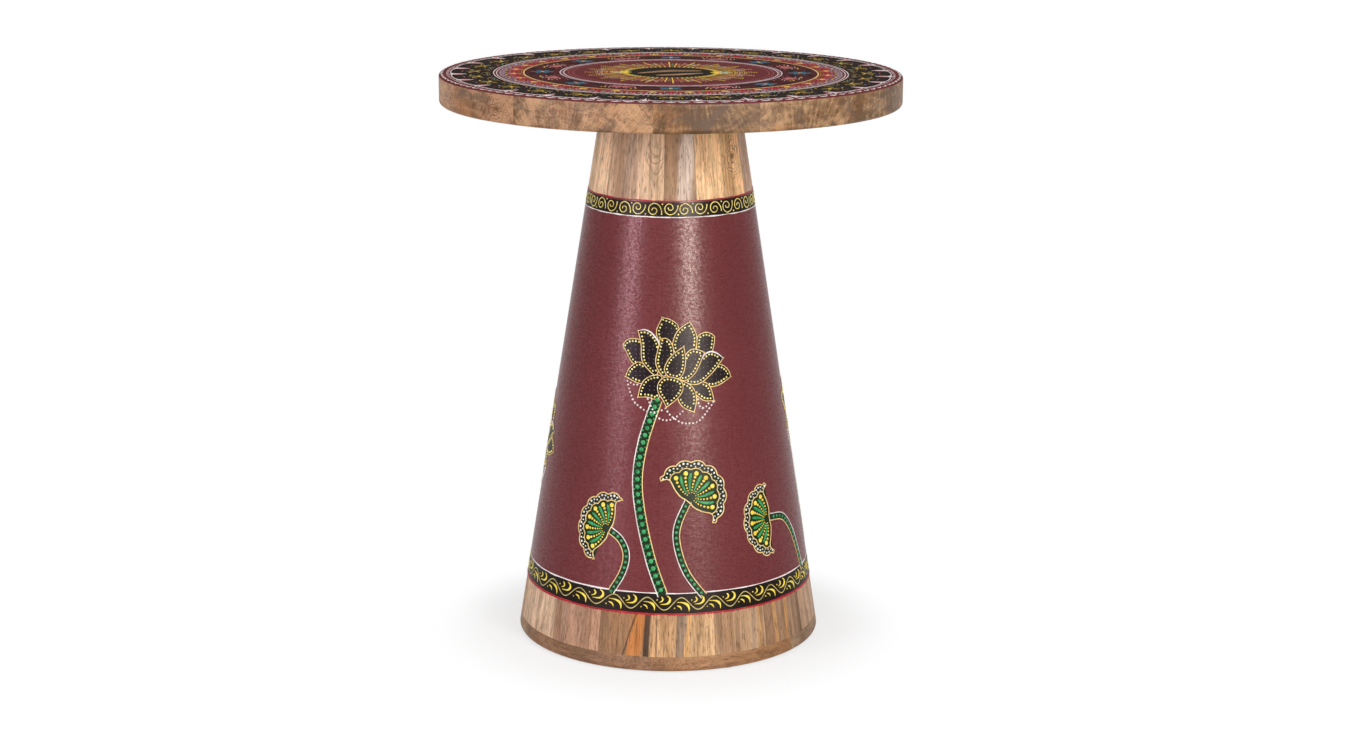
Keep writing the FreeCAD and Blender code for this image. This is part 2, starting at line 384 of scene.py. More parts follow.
for number in range(1, STAVES + 1):
    middle = math.radians(FIRST_STAVE_MIDDLE + 360.0 / STAVES * (number - 1))
    upright = [(0, 0, -middle), (math.atan(STAVE_SLOPE), 0, 0)]
    neck_tint, foot_tint = STAVE_TINTS[number - 1]
    finish = mango(
        f"stave_mango_{number:02d}", neck_tint, number, upright, foot=foot_tint,
        knots=STAVE_KNOTS.get(number, ()), cut=(1, 0, 0.6),
        streaks=STAVE_STREAKS.get(number, ()), flame=STAVE_FLAMES.get(number), seam=math.pi / STAVES,
    )
    dress(finish, f"stave_{number:02d}")

# Neck block and top bolts
# A sawn block glued inside the neck, with four zinc-plated socket bolts.
# The bolts pass up through washers into brass inserts screwed into the tabletop.

BLOCK_TINT = (188, 148, 112)
ZINC_TONES = srgb(150, 152, 156), srgb(206, 208, 210)
BRASS_TONES = srgb(168, 134, 70), srgb(214, 184, 112)
SCRATCHES = 2600  # to the metre
SCRATCH_DEPTH = 0.00004


def worn_metal(name, tones, rough):
    """Metal with fine scratches, from its dull tone to its bright one."""
    finish = new_finish(name, Metallic=1.0)
    scratches = cloud(finish, place_on(finish, scale=(1, 1, 0.1)), SCRATCHES, detail=3)
    put(finish, Base_Color=mix(finish, scratches, *tones))
    put(finish, Roughness=span(finish, scratches, 0.3, 0.7, rough, rough + 0.15))
    put(finish, Normal=bump(finish, scratches, SCRATCH_DEPTH))
    return finish


dress(mango("block_mango", BLOCK_TINT, seed=31, turns=[(math.pi / 2, 0, 0)]), "neck_block")
dress(worn_metal("zinc", ZINC_TONES, rough=0.3), "top_bolts", "bolt_washers")
dress(worn_metal("brass", BRASS_TONES, rough=0.28), "threaded_inserts")

# Tabletop
# A 25 mm disc of five mango boards glued edge to edge, grain running front to back.
# The rim is bare lacquered wood, so its front and back show end grain with rays, rings and knots.

BOARD_SEED = 60
# For each board: tint, the middle of its rings, and its knots with their radii. Places are in metres in the
# turned grain: across, and the height above the floor as a minus.
BOARDS = (
    ((150, 110, 80), (-0.170, -0.440), [((-0.142, -0.487, 0), 0.016)]),
    ((150, 112, 80), (-0.090, -0.425), [((-0.094, -0.490, 0), 0.007)]),
    ((128, 95, 63), (0.012, -0.570), []),
    ((148, 112, 78), (0.100, -0.410), [((0.118, -0.486, 0), 0.006)]),
    ((150, 116, 84), (0.170, -0.560), [((0.152, -0.489, 0), 0.010)]),
)

for number, (tint, pith, knots) in enumerate(BOARDS, 1):
    front_to_back = [(math.pi / 2, 0, 0)]
    finish = mango(
        f"board_mango_{number}", tint, BOARD_SEED + number, front_to_back,
        patch=16, figure=2.0, curl=0.8, heat=0.6, soot=0.7, fine=0.8, depth=0.27,
        pith=pith, knots=knots,
    )
    dress(finish, f"top_board_{number:02d}")

# Oxblood coat
# Satin maroon paint on the middle of the cone, laid on round and round with a wide brush.
# A thin closed skin over the staves, whose seams still show through it as faint lines.

MM = 0.001
OXBLOOD = srgb(117, 56, 58)
OXBLOOD_DEEP = srgb(100, 45, 48)
FIELD_LOW = 68.6
FIELD_HIGH = 386.6
FIELD_PROUD = 0.15
SKIN_SUNK = 0.3  # how far a skin of paint reaches into what it covers
EDGE_BENDS = 7.0  # how often a hand-drawn edge wavers
UPPER_EDGE = 9.0  # so that the upper edge of a coat doesn't waver as its lower one does
ROUND_STEPS = 240
SHARP = math.radians(35)
stave_corners = [corner.co for corner in nodes["stave_01"].data.vertices]
stave_low = min(corner.z for corner in stave_corners)
stave_high = max(corner.z for corner in stave_corners)
foot_radius = max(corner.to_2d().length for corner in stave_corners)
neck_radius = max(corner.to_2d().length for corner in stave_corners if corner.z > stave_high - MM)


def cone_radius(height):
    """Outer radius of the staves at a height, both in mm."""
    share = (height * MM - stave_low) / (stave_high - stave_low)
    return (foot_radius + (neck_radius - foot_radius) * share) / MM


def new_piece(name, bm, finish, slot):
    """Makes a piece of the finished mesh, with soft faces and hard corners, that rides on the table."""
    bmesh.ops.recalc_face_normals(bm, faces=bm.faces[:])
    for face in bm.faces:
        face.smooth = True
    for edge in bm.edges:
        edge.smooth = edge.calc_face_angle(0.0) < SHARP
    mesh = bpy.data.meshes.new(name)
    bm.to_mesh(mesh)
    bm.free()
    mesh.materials.append(finish)
    piece = bpy.data.objects.new(name, mesh)
    bpy.context.scene.collection.objects.link(piece)
    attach(piece, "root")


def turned(profile):
    """A closed ring about the table's axis, turned from corners given as (radius, height) in mm."""
    bm = bmesh.new()
    corners = [bm.verts.new((0, -radius * MM, height * MM)) for radius, height in profile]
    edges = [bm.edges.new((corners[place - 1], corner)) for place, corner in enumerate(corners)]
    bmesh.ops.spin(
        bm, geom=corners + edges, axis=(0, 0, 1), cent=(0, 0, 0), dvec=(0, 0, 0),
        angle=2 * math.pi, steps=ROUND_STEPS, use_merge=True, use_duplicate=False,
    )
    return bm


def skin(low, high, proud):
    """The section of a skin of paint: places along a surface and heights over it, in mm."""
    return (low, -SKIN_SUNK), (low, proud), (high, proud), (high, -SKIN_SUNK)


def coat(name, low, high, proud, finish, slot, waver=0.25):
    """A skin of paint round the cone between two heights in mm, with edges that a hand drew."""
    bm = turned([(cone_radius(height) + lift, height) for height, lift in skin(low, high, proud)])
    for corner in bm.verts:
        way = corner.co.to_2d().normalized()
        edge = low if corner.co.z < (low + high) / 2 * MM else low + UPPER_EDGE
        shift = waver * MM * noise.noise(Vector((EDGE_BENDS * way.x, EDGE_BENDS * way.y, edge)))
        corner.co.z += shift
        corner.co.xy += way * shift * (neck_radius - foot_radius) / (stave_high - stave_low)
    new_piece(name, bm, finish, slot)


def mean(finish, first, second):
    """The value half way between two."""
    return work(finish, "MULTIPLY_ADD", first, 0.5, work(finish, "MULTIPLY", second, 0.5))


def oxblood(name, level, seams, rough, gloss):
    """Maroon paint in brush strokes, more level ones at a higher level; seams show through by a share."""
    finish = new_finish(name, Specular_IOR_Level=gloss)
    here = place_on(finish)
    strokes = cloud(finish, place_on(finish, here, scale=(1, 1, level)), 150, detail=4, rough=0.6)
    tone = mean(finish, cloud(finish, here, 560, detail=3, rough=0.6), strokes)
    colour = mix(finish, span(finish, tone, 0.3, 0.7), OXBLOOD_DEEP, OXBLOOD)
    patches = cloud(finish, here, 11, detail=2)
    colour = mix(finish, span(finish, patches, 0.4, 0.7, 0.0, 0.3), colour, OXBLOOD_DEEP)
    first_seam = math.radians(FIRST_STAVE_MIDDLE) - math.pi / STAVES
    angle = work(finish, "SUBTRACT", round_axis(finish, here), first_seam)
    off_seam = work(finish, "PINGPONG", angle, math.pi / STAVES)
    colour = mix(finish, span(finish, off_seam, 0.0, 0.012, seams, 0.0), colour, OXBLOOD_DEEP)
    put(finish, Base_Color=colour)
    put(finish, Roughness=span(finish, tone, 0.3, 0.7, rough, rough + 0.16))
    crackle = cloud(finish, here, 420, detail=4, rough=0.65)
    put(finish, Specular_IOR_Level=span(finish, crackle, 0.35, 0.65, 0.45 * gloss, 1.55 * gloss))
    put(finish, Normal=bump(finish, tone, 0.00014))
    return finish


OXBLOOD_BRUSH = oxblood("oxblood_level", level=9.0, seams=0.5, rough=0.22, gloss=0.08)
coat("oxblood_coat", FIELD_LOW, FIELD_HIGH, FIELD_PROUD, OXBLOOD_BRUSH, "oxblood_paint")

# Upper scroll band
# A black band under the bare neck, edged in maroon with a red line over it, and with a white line under it.
# Yellow scrolls, every other one upside down, drawn freehand with a loaded brush and a dot between each.

SCROLL_LOW = 386.7
SCROLL_HIGH = 399.4
SCROLLS = 34
SCROLL_DOT = (0.47, 4.3)  # across in shares of a pitch, and off the middle line in mm
SCROLL_HAND = random.Random(11)
STROKE_LIFT = 0.25
DOT_LIFT = 0.30
THIN_HALF = 0.12  # the least half width of a stroke
DOT_CROWN = 0.62  # width of the flat top of a dot beside that of its foot
PRESSED = 0.5  # height of a bead beside that of a round one
# One scroll in mm from its own middle, from the inner end out to the tail, with half widths.
SCROLL = (
    (-2.3, 1.2, 0.46), (-1.7, -0.6, 0.35), (0.6, -0.7, 0.35), (1.7, 1.2, 0.35), (0.4, 3.6, 0.36),
    (-2.6, 4.0, 0.36), (-4.9, 1.5, 0.4), (-4.4, -2.3, 0.4), (-1.2, -4.5, 0.4), (2.7, -3.4, 0.36),
    (4.9, -0.4, 0.36), (5.6, 2.4, 0.44), (5.5, 3.6, 0.6),
)


def paint(name, tones, rough=0.36, gloss=0.06):
    """Raised brush paint from its full tone and the one where it lies thin."""
    full, thin = tones
    finish = new_finish(name, Specular_IOR_Level=gloss)
    here = place_on(finish)
    drag = cloud(finish, here, 700, detail=3, rough=0.6)
    load = cloud(finish, here, 160, detail=2)
    share = mean(finish, drag, load)
    put(finish, Base_Color=mix(finish, span(finish, share, 0.38, 0.55), thin, full))
    put(finish, Roughness=span(finish, drag, 0.3, 0.7, rough - 0.06, rough + 0.1))
    put(finish, Normal=bump(finish, drag, 0.0001))
    return finish


BLACK_TONES = srgb(22, 15, 10), srgb(32, 23, 16)
WHITE_TONES = srgb(246, 238, 236), srgb(220, 202, 200)
RED_TONES = srgb(188, 46, 58), srgb(150, 40, 50)
GOLD_TONES = srgb(250, 234, 138), srgb(220, 196, 102)
BLACK = paint("black_brush", BLACK_TONES)
WHITE = paint("white_brush", WHITE_TONES)
RED = paint("red_brush", RED_TONES)
GOLD = paint("gold_brush", GOLD_TONES)


def flow(points, steps=6):
    """A smooth line through a few chosen points, which may carry a half width too."""
    ends = [points[0], *points, points[-1]]
    line = []
    for corners in zip(ends, ends[1:], ends[2:], ends[3:]):
        for step in range(steps):
            t = step / steps
            pulls = (
                (-t + 2 * t * t - t ** 3) / 2, (2 - 5 * t * t + 3 * t ** 3) / 2,
                (t + 4 * t * t - 3 * t ** 3) / 2, (t ** 3 - t * t) / 2,
            )
            line.append(tuple(sum(p * c for p, c in zip(pulls, axis)) for axis in zip(*corners)))
    return [*line, tuple(points[-1])]


def brush(strokes, roundness=2):
    """Brush strokes in a flat picture in mm, as tapered beads: each point is (across, up, half width)."""
    line = bpy.data.curves.new("brush", "CURVE")
    line.dimensions = "3D"
    line.bevel_depth = 1.0
    line.bevel_resolution = roundness
    line.use_fill_caps = True
    for stroke in strokes:
        spline = line.splines.new("POLY")
        spline.points.add(len(stroke) - 1)
        for point, (across, up, half) in zip(spline.points, stroke):
            point.co = (across, 0.0, up, 1.0)
            point.radius = max(half, THIN_HALF)
    holder = bpy.data.objects.new("brush", line)
    beads = bpy.data.meshes.new_from_object(holder)
    bm = bmesh.new()
    bm.from_mesh(beads)
    bmesh.ops.remove_doubles(bm, verts=bm.verts[:], dist=0.002)
    bm.to_mesh(beads)
    bm.free()
    bpy.data.objects.remove(holder)
    bpy.data.curves.remove(line)
    return beads


def dots(spots, sides=8):
    """Dots of paint in a flat picture in mm, as low domes: each spot is (across, up, radius)."""
    bm = bmesh.new()
    face_on = Matrix.Rotation(math.pi / 2, 4, "X")
    for across, up, radius in spots:
        spot = Matrix.Translation((across, 0.0, up)) @ face_on
        bmesh.ops.create_cone(
            bm, cap_ends=True, segments=sides, depth=1.0, matrix=spot,
            radius1=radius, radius2=DOT_CROWN * radius,
        )
    beads = bpy.data.meshes.new("dots")
    bm.to_mesh(beads)
    bm.free()
    return beads


def on_cone(across, up, out, turn, belt=None):
    """Lays a point of a flat picture on the cone; turn is in degrees from the front, towards +X.

    Across is measured round the cone at its own height, or at the height of a belt."""
    angle = math.radians(turn) + across / cone_radius(up if belt is None else belt)
    radius = cone_radius(up) + out
    return Vector((radius * math.sin(angle), -radius * math.cos(angle), up)) * MM


def stamp(bm, picture, surface, lift, proud=0.25, turn=0.0, rise=0.0, **more):
    """Lays a flat picture on a surface at a lift in mm, pressed to stand no more than proud of it."""
    first = len(bm.verts)
    bm.from_mesh(picture)
    bm.verts.ensure_lookup_table()
    for corner in bm.verts[first:]:
        across, deep, up = corner.co
        out = max(-proud, min(proud, -PRESSED * deep))
        corner.co = surface(across, up + rise, lift + out, turn, **more)


def laid(name, finish, slot, *layers, **where):
    """A piece made of flat pictures, each with its lift in mm, laid on the cone."""
    bm = bmesh.new()
    for picture, lift in layers:
        stamp(bm, picture, on_cone, lift, **where)
    new_piece(name, bm, finish, slot)


scroll_middle = (SCROLL_LOW + SCROLL_HIGH) / 2
scroll_pitch = 2 * math.pi * cone_radius(scroll_middle) / SCROLLS
scroll_strokes = []
scroll_dots = []
for number in range(SCROLLS):
    way_up = 1 if number % 2 else -1
    size = SCROLL_HAND.uniform(0.97, 1.08)
    centre = scroll_pitch * (number - SCROLLS / 2 + SCROLL_HAND.uniform(-0.05, 0.05))
    lifted = scroll_middle + SCROLL_HAND.uniform(-0.3, 0.3)
    tilt = SCROLL_HAND.uniform(-0.12, 0.12)
    points = []
    for x, y, half in SCROLL:
        points.append((centre + size * (x - tilt * y), lifted + way_up * size * (y + tilt * x), half))
    scroll_strokes.append(flow(points, steps=4))
    dot_across = centre + SCROLL_DOT[0] * scroll_pitch
    scroll_dots.append((dot_across, lifted - way_up * SCROLL_DOT[1], SCROLL_HAND.uniform(0.7, 0.95)))

# Level coats of the band: lower and upper edge in mm, how proud, finish, slot, and how far its edges waver.
SCROLL_COATS = {
    "black": (SCROLL_LOW - 0.4, SCROLL_HIGH, 0.25, BLACK, "black_paint", 0.25),
    "maroon_line": (SCROLL_HIGH - 0.9, SCROLL_HIGH + 0.5, 0.28, OXBLOOD_BRUSH, "oxblood_paint", 1.2),
    "red_line": (SCROLL_HIGH + 0.3, SCROLL_HIGH + 0.9, 0.32, RED, "red_paint", 0.5),
    "white_line": (SCROLL_LOW - 0.8, SCROLL_LOW, 0.32, WHITE, "white_paint", 0.5),
}
for line, sizes in SCROLL_COATS.items():
    coat(f"scroll_band_{line}", *sizes)
laid(
    "scroll_band_scrolls", GOLD, "gold_paint",
    (brush(scroll_strokes), STROKE_LIFT), (dots(scroll_dots), DOT_LIFT), belt=scroll_middle,
)

# Lower vine band
# A black band over the bare foot, with a white line over it and a dotted red line under it.
# A pale wavy stem runs round it, with a curved yellow leaf, a small leaf and a dot in each bend.

VINE_LOW = 51.4
VINE_HIGH = 68.3
WAVES = 27
WAVE_STEPS = 24
FIRST_CREST = 5.1  # degrees
WAVE_HEIGHT = 5.2
WAVE_WAVER = 0.5
VINE_HALF = 0.38
RED_DOT_PITCH = 1.35
RED_DOT_DROP = 1.2
RED_DOT_LIFT = 0.20
VINE_HAND = random.Random(23)
# Leaves in mm: over a trough from its lowest point, and under a crest from its highest.
CUP_LEAF = ((2.4, 13.0, 0.2), (5.0, 10.9, 0.75), (5.0, 7.9, 1.1), (2.2, 5.5, 0.7), (-3.4, 5.0, 0.2))
CUP_COMMA = ((-2.6, 11.9, 0.4), (-1.2, 10.0, 0.7), (-1.9, 8.0, 0.6), (-4.6, 6.8, 0.2))
CREST_LEAF = ((-4.2, -4.0, 0.2), (0.2, -4.2, 0.5), (4.0, -5.8, 1.1), (5.8, -8.4, 0.8), (6.0, -11.8, 0.2))
CREST_COMMA = ((-4.4, -6.9, 0.3), (-1.6, -8.0, 0.7), (-0.4, -10.6, 0.2))
BEND_DOT = (-6.4, 9.0, 0.7)
VINE_STEM = paint("vine_stem_brush", (srgb(214, 196, 124), srgb(174, 154, 90)))
VINE_LEAF = paint("vine_leaf_brush", (srgb(252, 228, 92), srgb(232, 202, 84)))

# The waves were drawn wider at the front left: shares of the way round from the first crest.
DRIFT_START = 0.30
DRIFT_MOST = 0.77
DRIFT_END = 0.93
DRIFT = 11.0  # degrees

vine_middle = (VINE_LOW + VINE_HIGH) / 2
vine_round = 2 * math.pi * cone_radius(vine_middle)
wave_pitch = vine_round / WAVES
wave_steps = WAVE_STEPS * WAVES


def drifted(across):
    """Moves a point of the vine along the band to where the hand drew it."""
    share = across / vine_round % 1.0
    rise = (share - DRIFT_START) / (DRIFT_MOST - DRIFT_START)
    fall = (DRIFT_END - share) / (DRIFT_END - DRIFT_MOST)
    return across - max(min(rise, fall), 0.0) * DRIFT / 360 * vine_round


vine_stem = []
for step in range(wave_steps + 1):
    share = step / wave_steps
    turn = 2 * math.pi * share
    up = vine_middle + WAVE_HEIGHT * math.cos(WAVES * turn)
    up += WAVE_WAVER * noise.noise(Vector((4 * math.cos(turn), 4 * math.sin(turn), 3)))
    vine_stem.append((drifted(vine_round * share), up, VINE_HALF))
vine_leaves = []
vine_dots = []
for number in range(WAVES):
    for middle, level, leaves, side in (
        (number * wave_pitch, vine_middle + WAVE_HEIGHT, (CREST_LEAF, CREST_COMMA), -1),
        ((number + 0.5) * wave_pitch, vine_middle - WAVE_HEIGHT, (CUP_LEAF, CUP_COMMA), 1),
    ):
        size = VINE_HAND.uniform(0.9, 1.0)
        middle += VINE_HAND.uniform(-0.7, 0.7)
        for leaf in leaves:
            points = [(drifted(middle + size * x), level + size * y, size * half) for x, y, half in leaf]
            vine_leaves.append(flow(points))
        across, up, half = BEND_DOT
        half *= VINE_HAND.uniform(0.8, 1.1)
        vine_dots.append((drifted(middle + size * across), level + side * size * up, half))
red_dots = []
for number in range(int(vine_round / RED_DOT_PITCH)):
    across = RED_DOT_PITCH * (number + VINE_HAND.uniform(-0.2, 0.2))
    up = VINE_LOW - RED_DOT_DROP + VINE_HAND.uniform(-0.2, 0.2)
    red_dots.append((across, up, VINE_HAND.uniform(0.55, 0.75)))

# Level coats of the band, as for the scroll band.
VINE_COATS = {
    "black": (VINE_LOW, VINE_HIGH + 0.4, 0.25, BLACK, "black_paint", 0.25),
    "white_line": (VINE_HIGH, VINE_HIGH + 0.95, 0.32, WHITE, "white_paint", 0.5),
    "red_line": (VINE_LOW - 0.9, VINE_LOW + 0.2, 0.32, RED, "red_paint", 0.6),
}
for line, sizes in VINE_COATS.items():
    coat(f"vine_band_{line}", *sizes)
laid("vine_band_red_dots", RED, "red_paint", (dots(red_dots, 6), RED_DOT_LIFT), belt=VINE_LOW)
vine_place = {"turn": FIRST_CREST, "belt": vine_middle}
laid("vine_band_stem", VINE_STEM, "gold_paint", (brush([vine_stem]), STROKE_LIFT), **vine_place)
laid(
    "vine_band_leaves", VINE_LEAF, "gold_paint",
    (brush(vine_leaves), STROKE_LIFT), (dots(vine_dots), DOT_LIFT), **vine_place,
)

# Lotus flowers and their stems
# Four open lotuses round the cone, black petals edged in cream with rows of gold dots inside the edge.
# White folds and strings of white dots hang about them; each stands on a dark stem with green dots.

CREAM_TONES = srgb(246, 216, 150), srgb(224, 184, 118)
GREEN_TONES = srgb(62, 162, 98), srgb(38, 124, 70)
CREAM = paint("cream_brush", CREAM_TONES)
GREEN = paint("green_brush", GREEN_TONES)
PALE_GOLD = paint("pale_gold_brush", (srgb(255, 244, 160), srgb(244, 222, 122)))
PETAL_BLACK = paint("petal_black_brush", (srgb(12, 5, 9), srgb(22, 12, 17)), gloss=0.07)
LEAF_BLACK = paint("leaf_black_brush", (srgb(20, 38, 17), srgb(28, 48, 24)))
ROSE_GREY = paint("rose_grey_brush", (srgb(122, 96, 100), srgb(98, 74, 80)))
LOTUSES = ((4.4, 251.6), (-95.0, 172.0), (105.0, 190.0), (184.0, 247.0))  # degrees, height in mm
LOTUS_HAND = random.Random(31)
# Petals from the back of the flower to its front, each clockwise from its tip, in mm from the middle.
PETALS = (
    ((-13, 51), (-4.5, 48.5), (1, 42), (-2, 29), (-10, 19), (-17, 33), (-18, 40), (-16, 45)),
    ((32.5, 33.5), (32, 28), (29.5, 20), (22, 18), (16.5, 22), (17, 34), (23.5, 37.5), (28.5, 36.5)),
    ((10, 47), (13.5, 42), (16.5, 33), (14.5, 22.5), (8, 16), (2, 16), (-4, 25), (-3.5, 33), (1, 41)),
    ((-48, 26), (-44, 30.5), (-38, 32), (-31, 30.5), (-27.5, 20.5), (-29, 10), (-39, 11.5), (-45.5, 21.5)),
    ((48, -2), (38, -7), (29, -8.5), (19.5, -4.5), (26, 4), (33.5, 9.5), (40, 8.5), (45.5, 4)),
    ((-45.5, -0.5), (-43, 5.5), (-38, 10.5), (-32, 12.5), (-21, 5.5), (-18, 0), (-31.5, -5.5)),
    ((31.5, -20.5), (23, -20), (17, -16), (10.5, -10), (6.5, -4.5), (14, -3), (22, -4), (28, -8.5)),
    ((-34, 39), (-28.5, 40), (-22.5, 38), (-17, 31), (-15, 20), (-18, 2.5), (-26, 7.5), (-31, 15),
     (-31.5, 28)),
    ((40.5, 14.5), (31, 4), (20, -4.5), (12, -5.5), (3, -1.5), (15, 11), (23.5, 19), (28.5, 21), (34.5, 19)),
    ((-15, 33), (-10.5, 33.5), (-6, 30.5), (-3.5, 22), (-6, 9), (-12, 1.5), (-17, 7), (-19, 14), (-17, 24)),
    ((23, 20.5), (18, 9.5), (14, 3), (8, -1.5), (2, -1), (3, 9), (7, 20), (12.5, 24), (18.5, 23)),
    ((5, 26.5), (6.5, 17), (5.5, 7), (2, 0.5), (-3.5, 0), (-9.5, 2.5), (-11.5, 8.5), (-7.5, 16.5),
     (-1, 22.5)),
    ((13.5, -29), (4, -24.5), (-0.5, -17), (-0.5, -9), (2, -2.5), (10.5, -6), (15, -13), (15.5, -21)),
    ((-34.5, -17), (-33, -10), (-29.5, -3), (-23, 1.5), (-15, 2), (-13, -4), (-17, -17.5), (-26, -16.5)),
    ((-10, -24.5), (-13, -18.5), (-17, -12), (-17, -5), (-12, 0.5), (-4, 0.5), (3, -3), (4, -10),
     (-0.5, -17)),
)
# White folds along the edges of two petals, and the strings of white dots under the flower.
FOLDS = (
    ((-34, 39), (-28.5, 40.2), (-23.5, 38.5), (-19.5, 34.8), (-16.5, 30), (-15, 27)),
    ((20.5, 15), (23.2, 19), (28.5, 21), (34.5, 19.2), (40.5, 14.5)),
)
GARLANDS = (
    ((-44, -4), (-42, -12), (-38.5, -20.5), (-32.5, -25.5), (-27, -28.5), (-21.5, -29), (-13, -27)),
    ((-26, -18), (-21.5, -27.5), (-16.5, -34), (-8, -35.5), (0, -31.5), (5, -27)),
    ((-11, -25.5), (-7.5, -30.5), (-2, -35), (3.5, -38), (9, -38.5), (15, -38), (20, -35), (29, -24.5),
     (31.5, -20)),
    ((-44, -4), (-37, -7), (-34, -6)),
    ((17, -18.5), (18, -23.5), (21, -26), (25, -24.5), (27, -21.5)),
)
GARLAND_PITCH = 3.2
FLOWER_HEART = (15.0, 7.0)  # half width and half height of the black behind the petals
EDGE_HALF = 0.36
EDGE_PITCH = 0.9
TIP_FLICK = 0.8
TIP_HALVES = (0.5, 0.3)
ROW_INSET = 2.1  # gold dots: how far inside the edge of a petal
ROW_PITCH = 2.85
ROW_APART = 2.3
ROW_CLEAR = 1.3  # how far inside the edge they stay at least
PETAL_CLEAR = 1.0  # and how far outside the petals that cover it
# Faint dots over the petals: how many columns and rows, their pitch, and where the first one lies.
FAINT_COLUMNS = (26, 3.9, -48)
FAINT_ROWS = (25, 3.7, -36)
FAINT_INSET = 4.0
FAINT_SIZE = 0.5
MAIN_STEM = ((-18, 233), (-30, 198), (-35.5, 166), (-33, 135), (-24.7, 97.5), (-14.3, 67))
MAIN_STEM_HALF = 4.3
MAIN_STEM_LINE = 0.43
STEM_BELOW_FLOWER = 18.6
STEM_FOOT = 67.0
BEAD_PITCH = 6.4
SIDE_BEADS = 3.0  # how far off the middle of the stem
SIDE_BEAD_PITCH = 3.2
SLAB_THICK = 0.12
SLAB_STEP = 0.004  # how much higher each shape of a picture lies than the one before


def petal(points):
    """A closed outline through the points of a petal, smooth but for its sharp tip."""
    return [Vector(point) for point in flow([*points, points[0]], 4)[:-1]]


def shrunk(outline, inset):
    """An outline drawn inside another that runs clockwise, by moving each point inwards."""
    inner = []
    for place, point in enumerate(outline):
        way = outline[(place + 1) % len(outline)] - outline[place - 1]
        inner.append(point + Vector((way.y, -way.x)).normalized() * inset)
    return inner


def inside(point, outline):
    """Whether a point lies in a closed outline."""
    hits = 0
    for start, end in zip(outline, [*outline[1:], outline[0]]):
        if (start[1] > point[1]) != (end[1] > point[1]):
            across = start[0] + (point[1] - start[1]) / (end[1] - start[1]) * (end[0] - start[0])
            hits += across > point[0]
    return hits % 2 == 1


def spaced(line, pitch):
    """Points at an even pitch along a line."""
    marks = [tuple(line[0])]
    left = pitch
    for start, end in zip(line, line[1:]):
        length = math.dist(start[:2], end[:2])
        done = 0.0
        while length - done >= left:
            done += left
            left = pitch
            marks.append(tuple(a + (b - a) * done / length for a, b in zip(start, end)))
        left -= length - done
    return marks


def runs(line, covers):
    """The stretches of a line that no cover hides."""
    kept = [[]]
    for point in line:
        if any(inside(point, cover) for cover in covers):
            kept.append([])
        else:
            kept[-1].append(point)
    return [run for run in kept if len(run) > 2]


def beside(line, offset):
    """A line that runs beside another, on its right as it goes where the offset is positive."""
    moved = []
    for place, point in enumerate(line):
        ahead = line[min(place + 1, len(line) - 1)]
        way = Vector(ahead[:2]) - Vector(line[max(place - 1, 0)][:2])
        way.normalize()
        moved.append((point[0] + way.y * offset, point[1] - way.x * offset))
    return moved


def slabs(outlines, strip=4.0):
    """Filled shapes in a flat picture in mm, cut into upright strips so that they bend round the cone."""
    bm = bmesh.new()
    for level, outline in enumerate(outlines):
        corners = [bm.verts.new((x, -SLAB_STEP * level, z)) for x, z in outline]
        bm.faces.new(corners)
    bmesh.ops.triangulate(bm, faces=bm.faces[:])
    low = min(corner.co.x for corner in bm.verts)
    high = max(corner.co.x for corner in bm.verts)
    for number in range(1, int((high - low) / strip) + 1):
        everything = bm.verts[:] + bm.edges[:] + bm.faces[:]
        cut = (low + strip * number, 0, 0)
        bmesh.ops.bisect_plane(bm, geom=everything, plane_co=cut, plane_no=(1, 0, 0))
    bmesh.ops.recalc_face_normals(bm, faces=bm.faces[:])
    bmesh.ops.solidify(bm, geom=bm.faces[:], thickness=SLAB_THICK)
    flat = bpy.data.meshes.new("slabs")
    bm.to_mesh(flat)
    bm.free()
    return flat


def line_of(points, half):
    return [(point[0], point[1], half) for point in points]


def stem_edges(stem, stem_half, line_half):
    """The lines along a stem: the one on its right as it goes, and the one on its left."""
    return [brush([line_of(beside(stem, offset), line_half)]) for offset in (stem_half, -stem_half)]


def lay(pieces, pictures, **where):
    """Lays pictures on the cone, each in the piece of its colour: (colour, picture, lift, proud)."""
    for colour, picture, lift, proud in pictures:
        stamp(pieces[colour], picture, on_cone, lift, proud, **where)


petal_shapes = [petal(points) for points in PETALS]
petal_lines = []
petal_dots = []
for place, shape in enumerate(petal_shapes):
    later = petal_shapes[place + 1:]
    shades = [shrunk(cover, -PETAL_CLEAR) for cover in later]
    ring = spaced([*shape, shape[0]], EDGE_PITCH)
    petal_lines += [line_of(run, EDGE_HALF) for run in runs(ring, later)]
    tip = shape[0]
    if not any(inside(tip, cover) for cover in later):
        flick = tip.lerp(2 * tip - (shape[1] + shape[-1]) / 2, TIP_FLICK)
        petal_lines.append([(*tip, TIP_HALVES[0]), (*flick, TIP_HALVES[1])])
    row = shrunk(shape, ROW_INSET)
    within = shrunk(shape, ROW_CLEAR)
    for spot in spaced([*row, row[0]], ROW_PITCH):
        clear = all(math.dist(spot, other[:2]) > ROW_APART for other in petal_dots)
        if clear and inside(spot, within) and not any(inside(spot, shade) for shade in shades):
            petal_dots.append((*spot, LOTUS_HAND.uniform(0.8, 0.98)))
petal_faint = []
columns, column_pitch, left = FAINT_COLUMNS
rows, row_pitch, low = FAINT_ROWS
for column in range(columns):
    for row in range(rows):
        shift = LOTUS_HAND.uniform(-0.7, 0.7)
        spot = (column_pitch * column + left + shift, row_pitch * row + low - shift)
        owners = [shape for shape in petal_shapes if inside(spot, shape)]
        if owners and inside(spot, shrunk(owners[-1], FAINT_INSET)):
            petal_faint.append((*spot, FAINT_SIZE))
fold_strokes = []
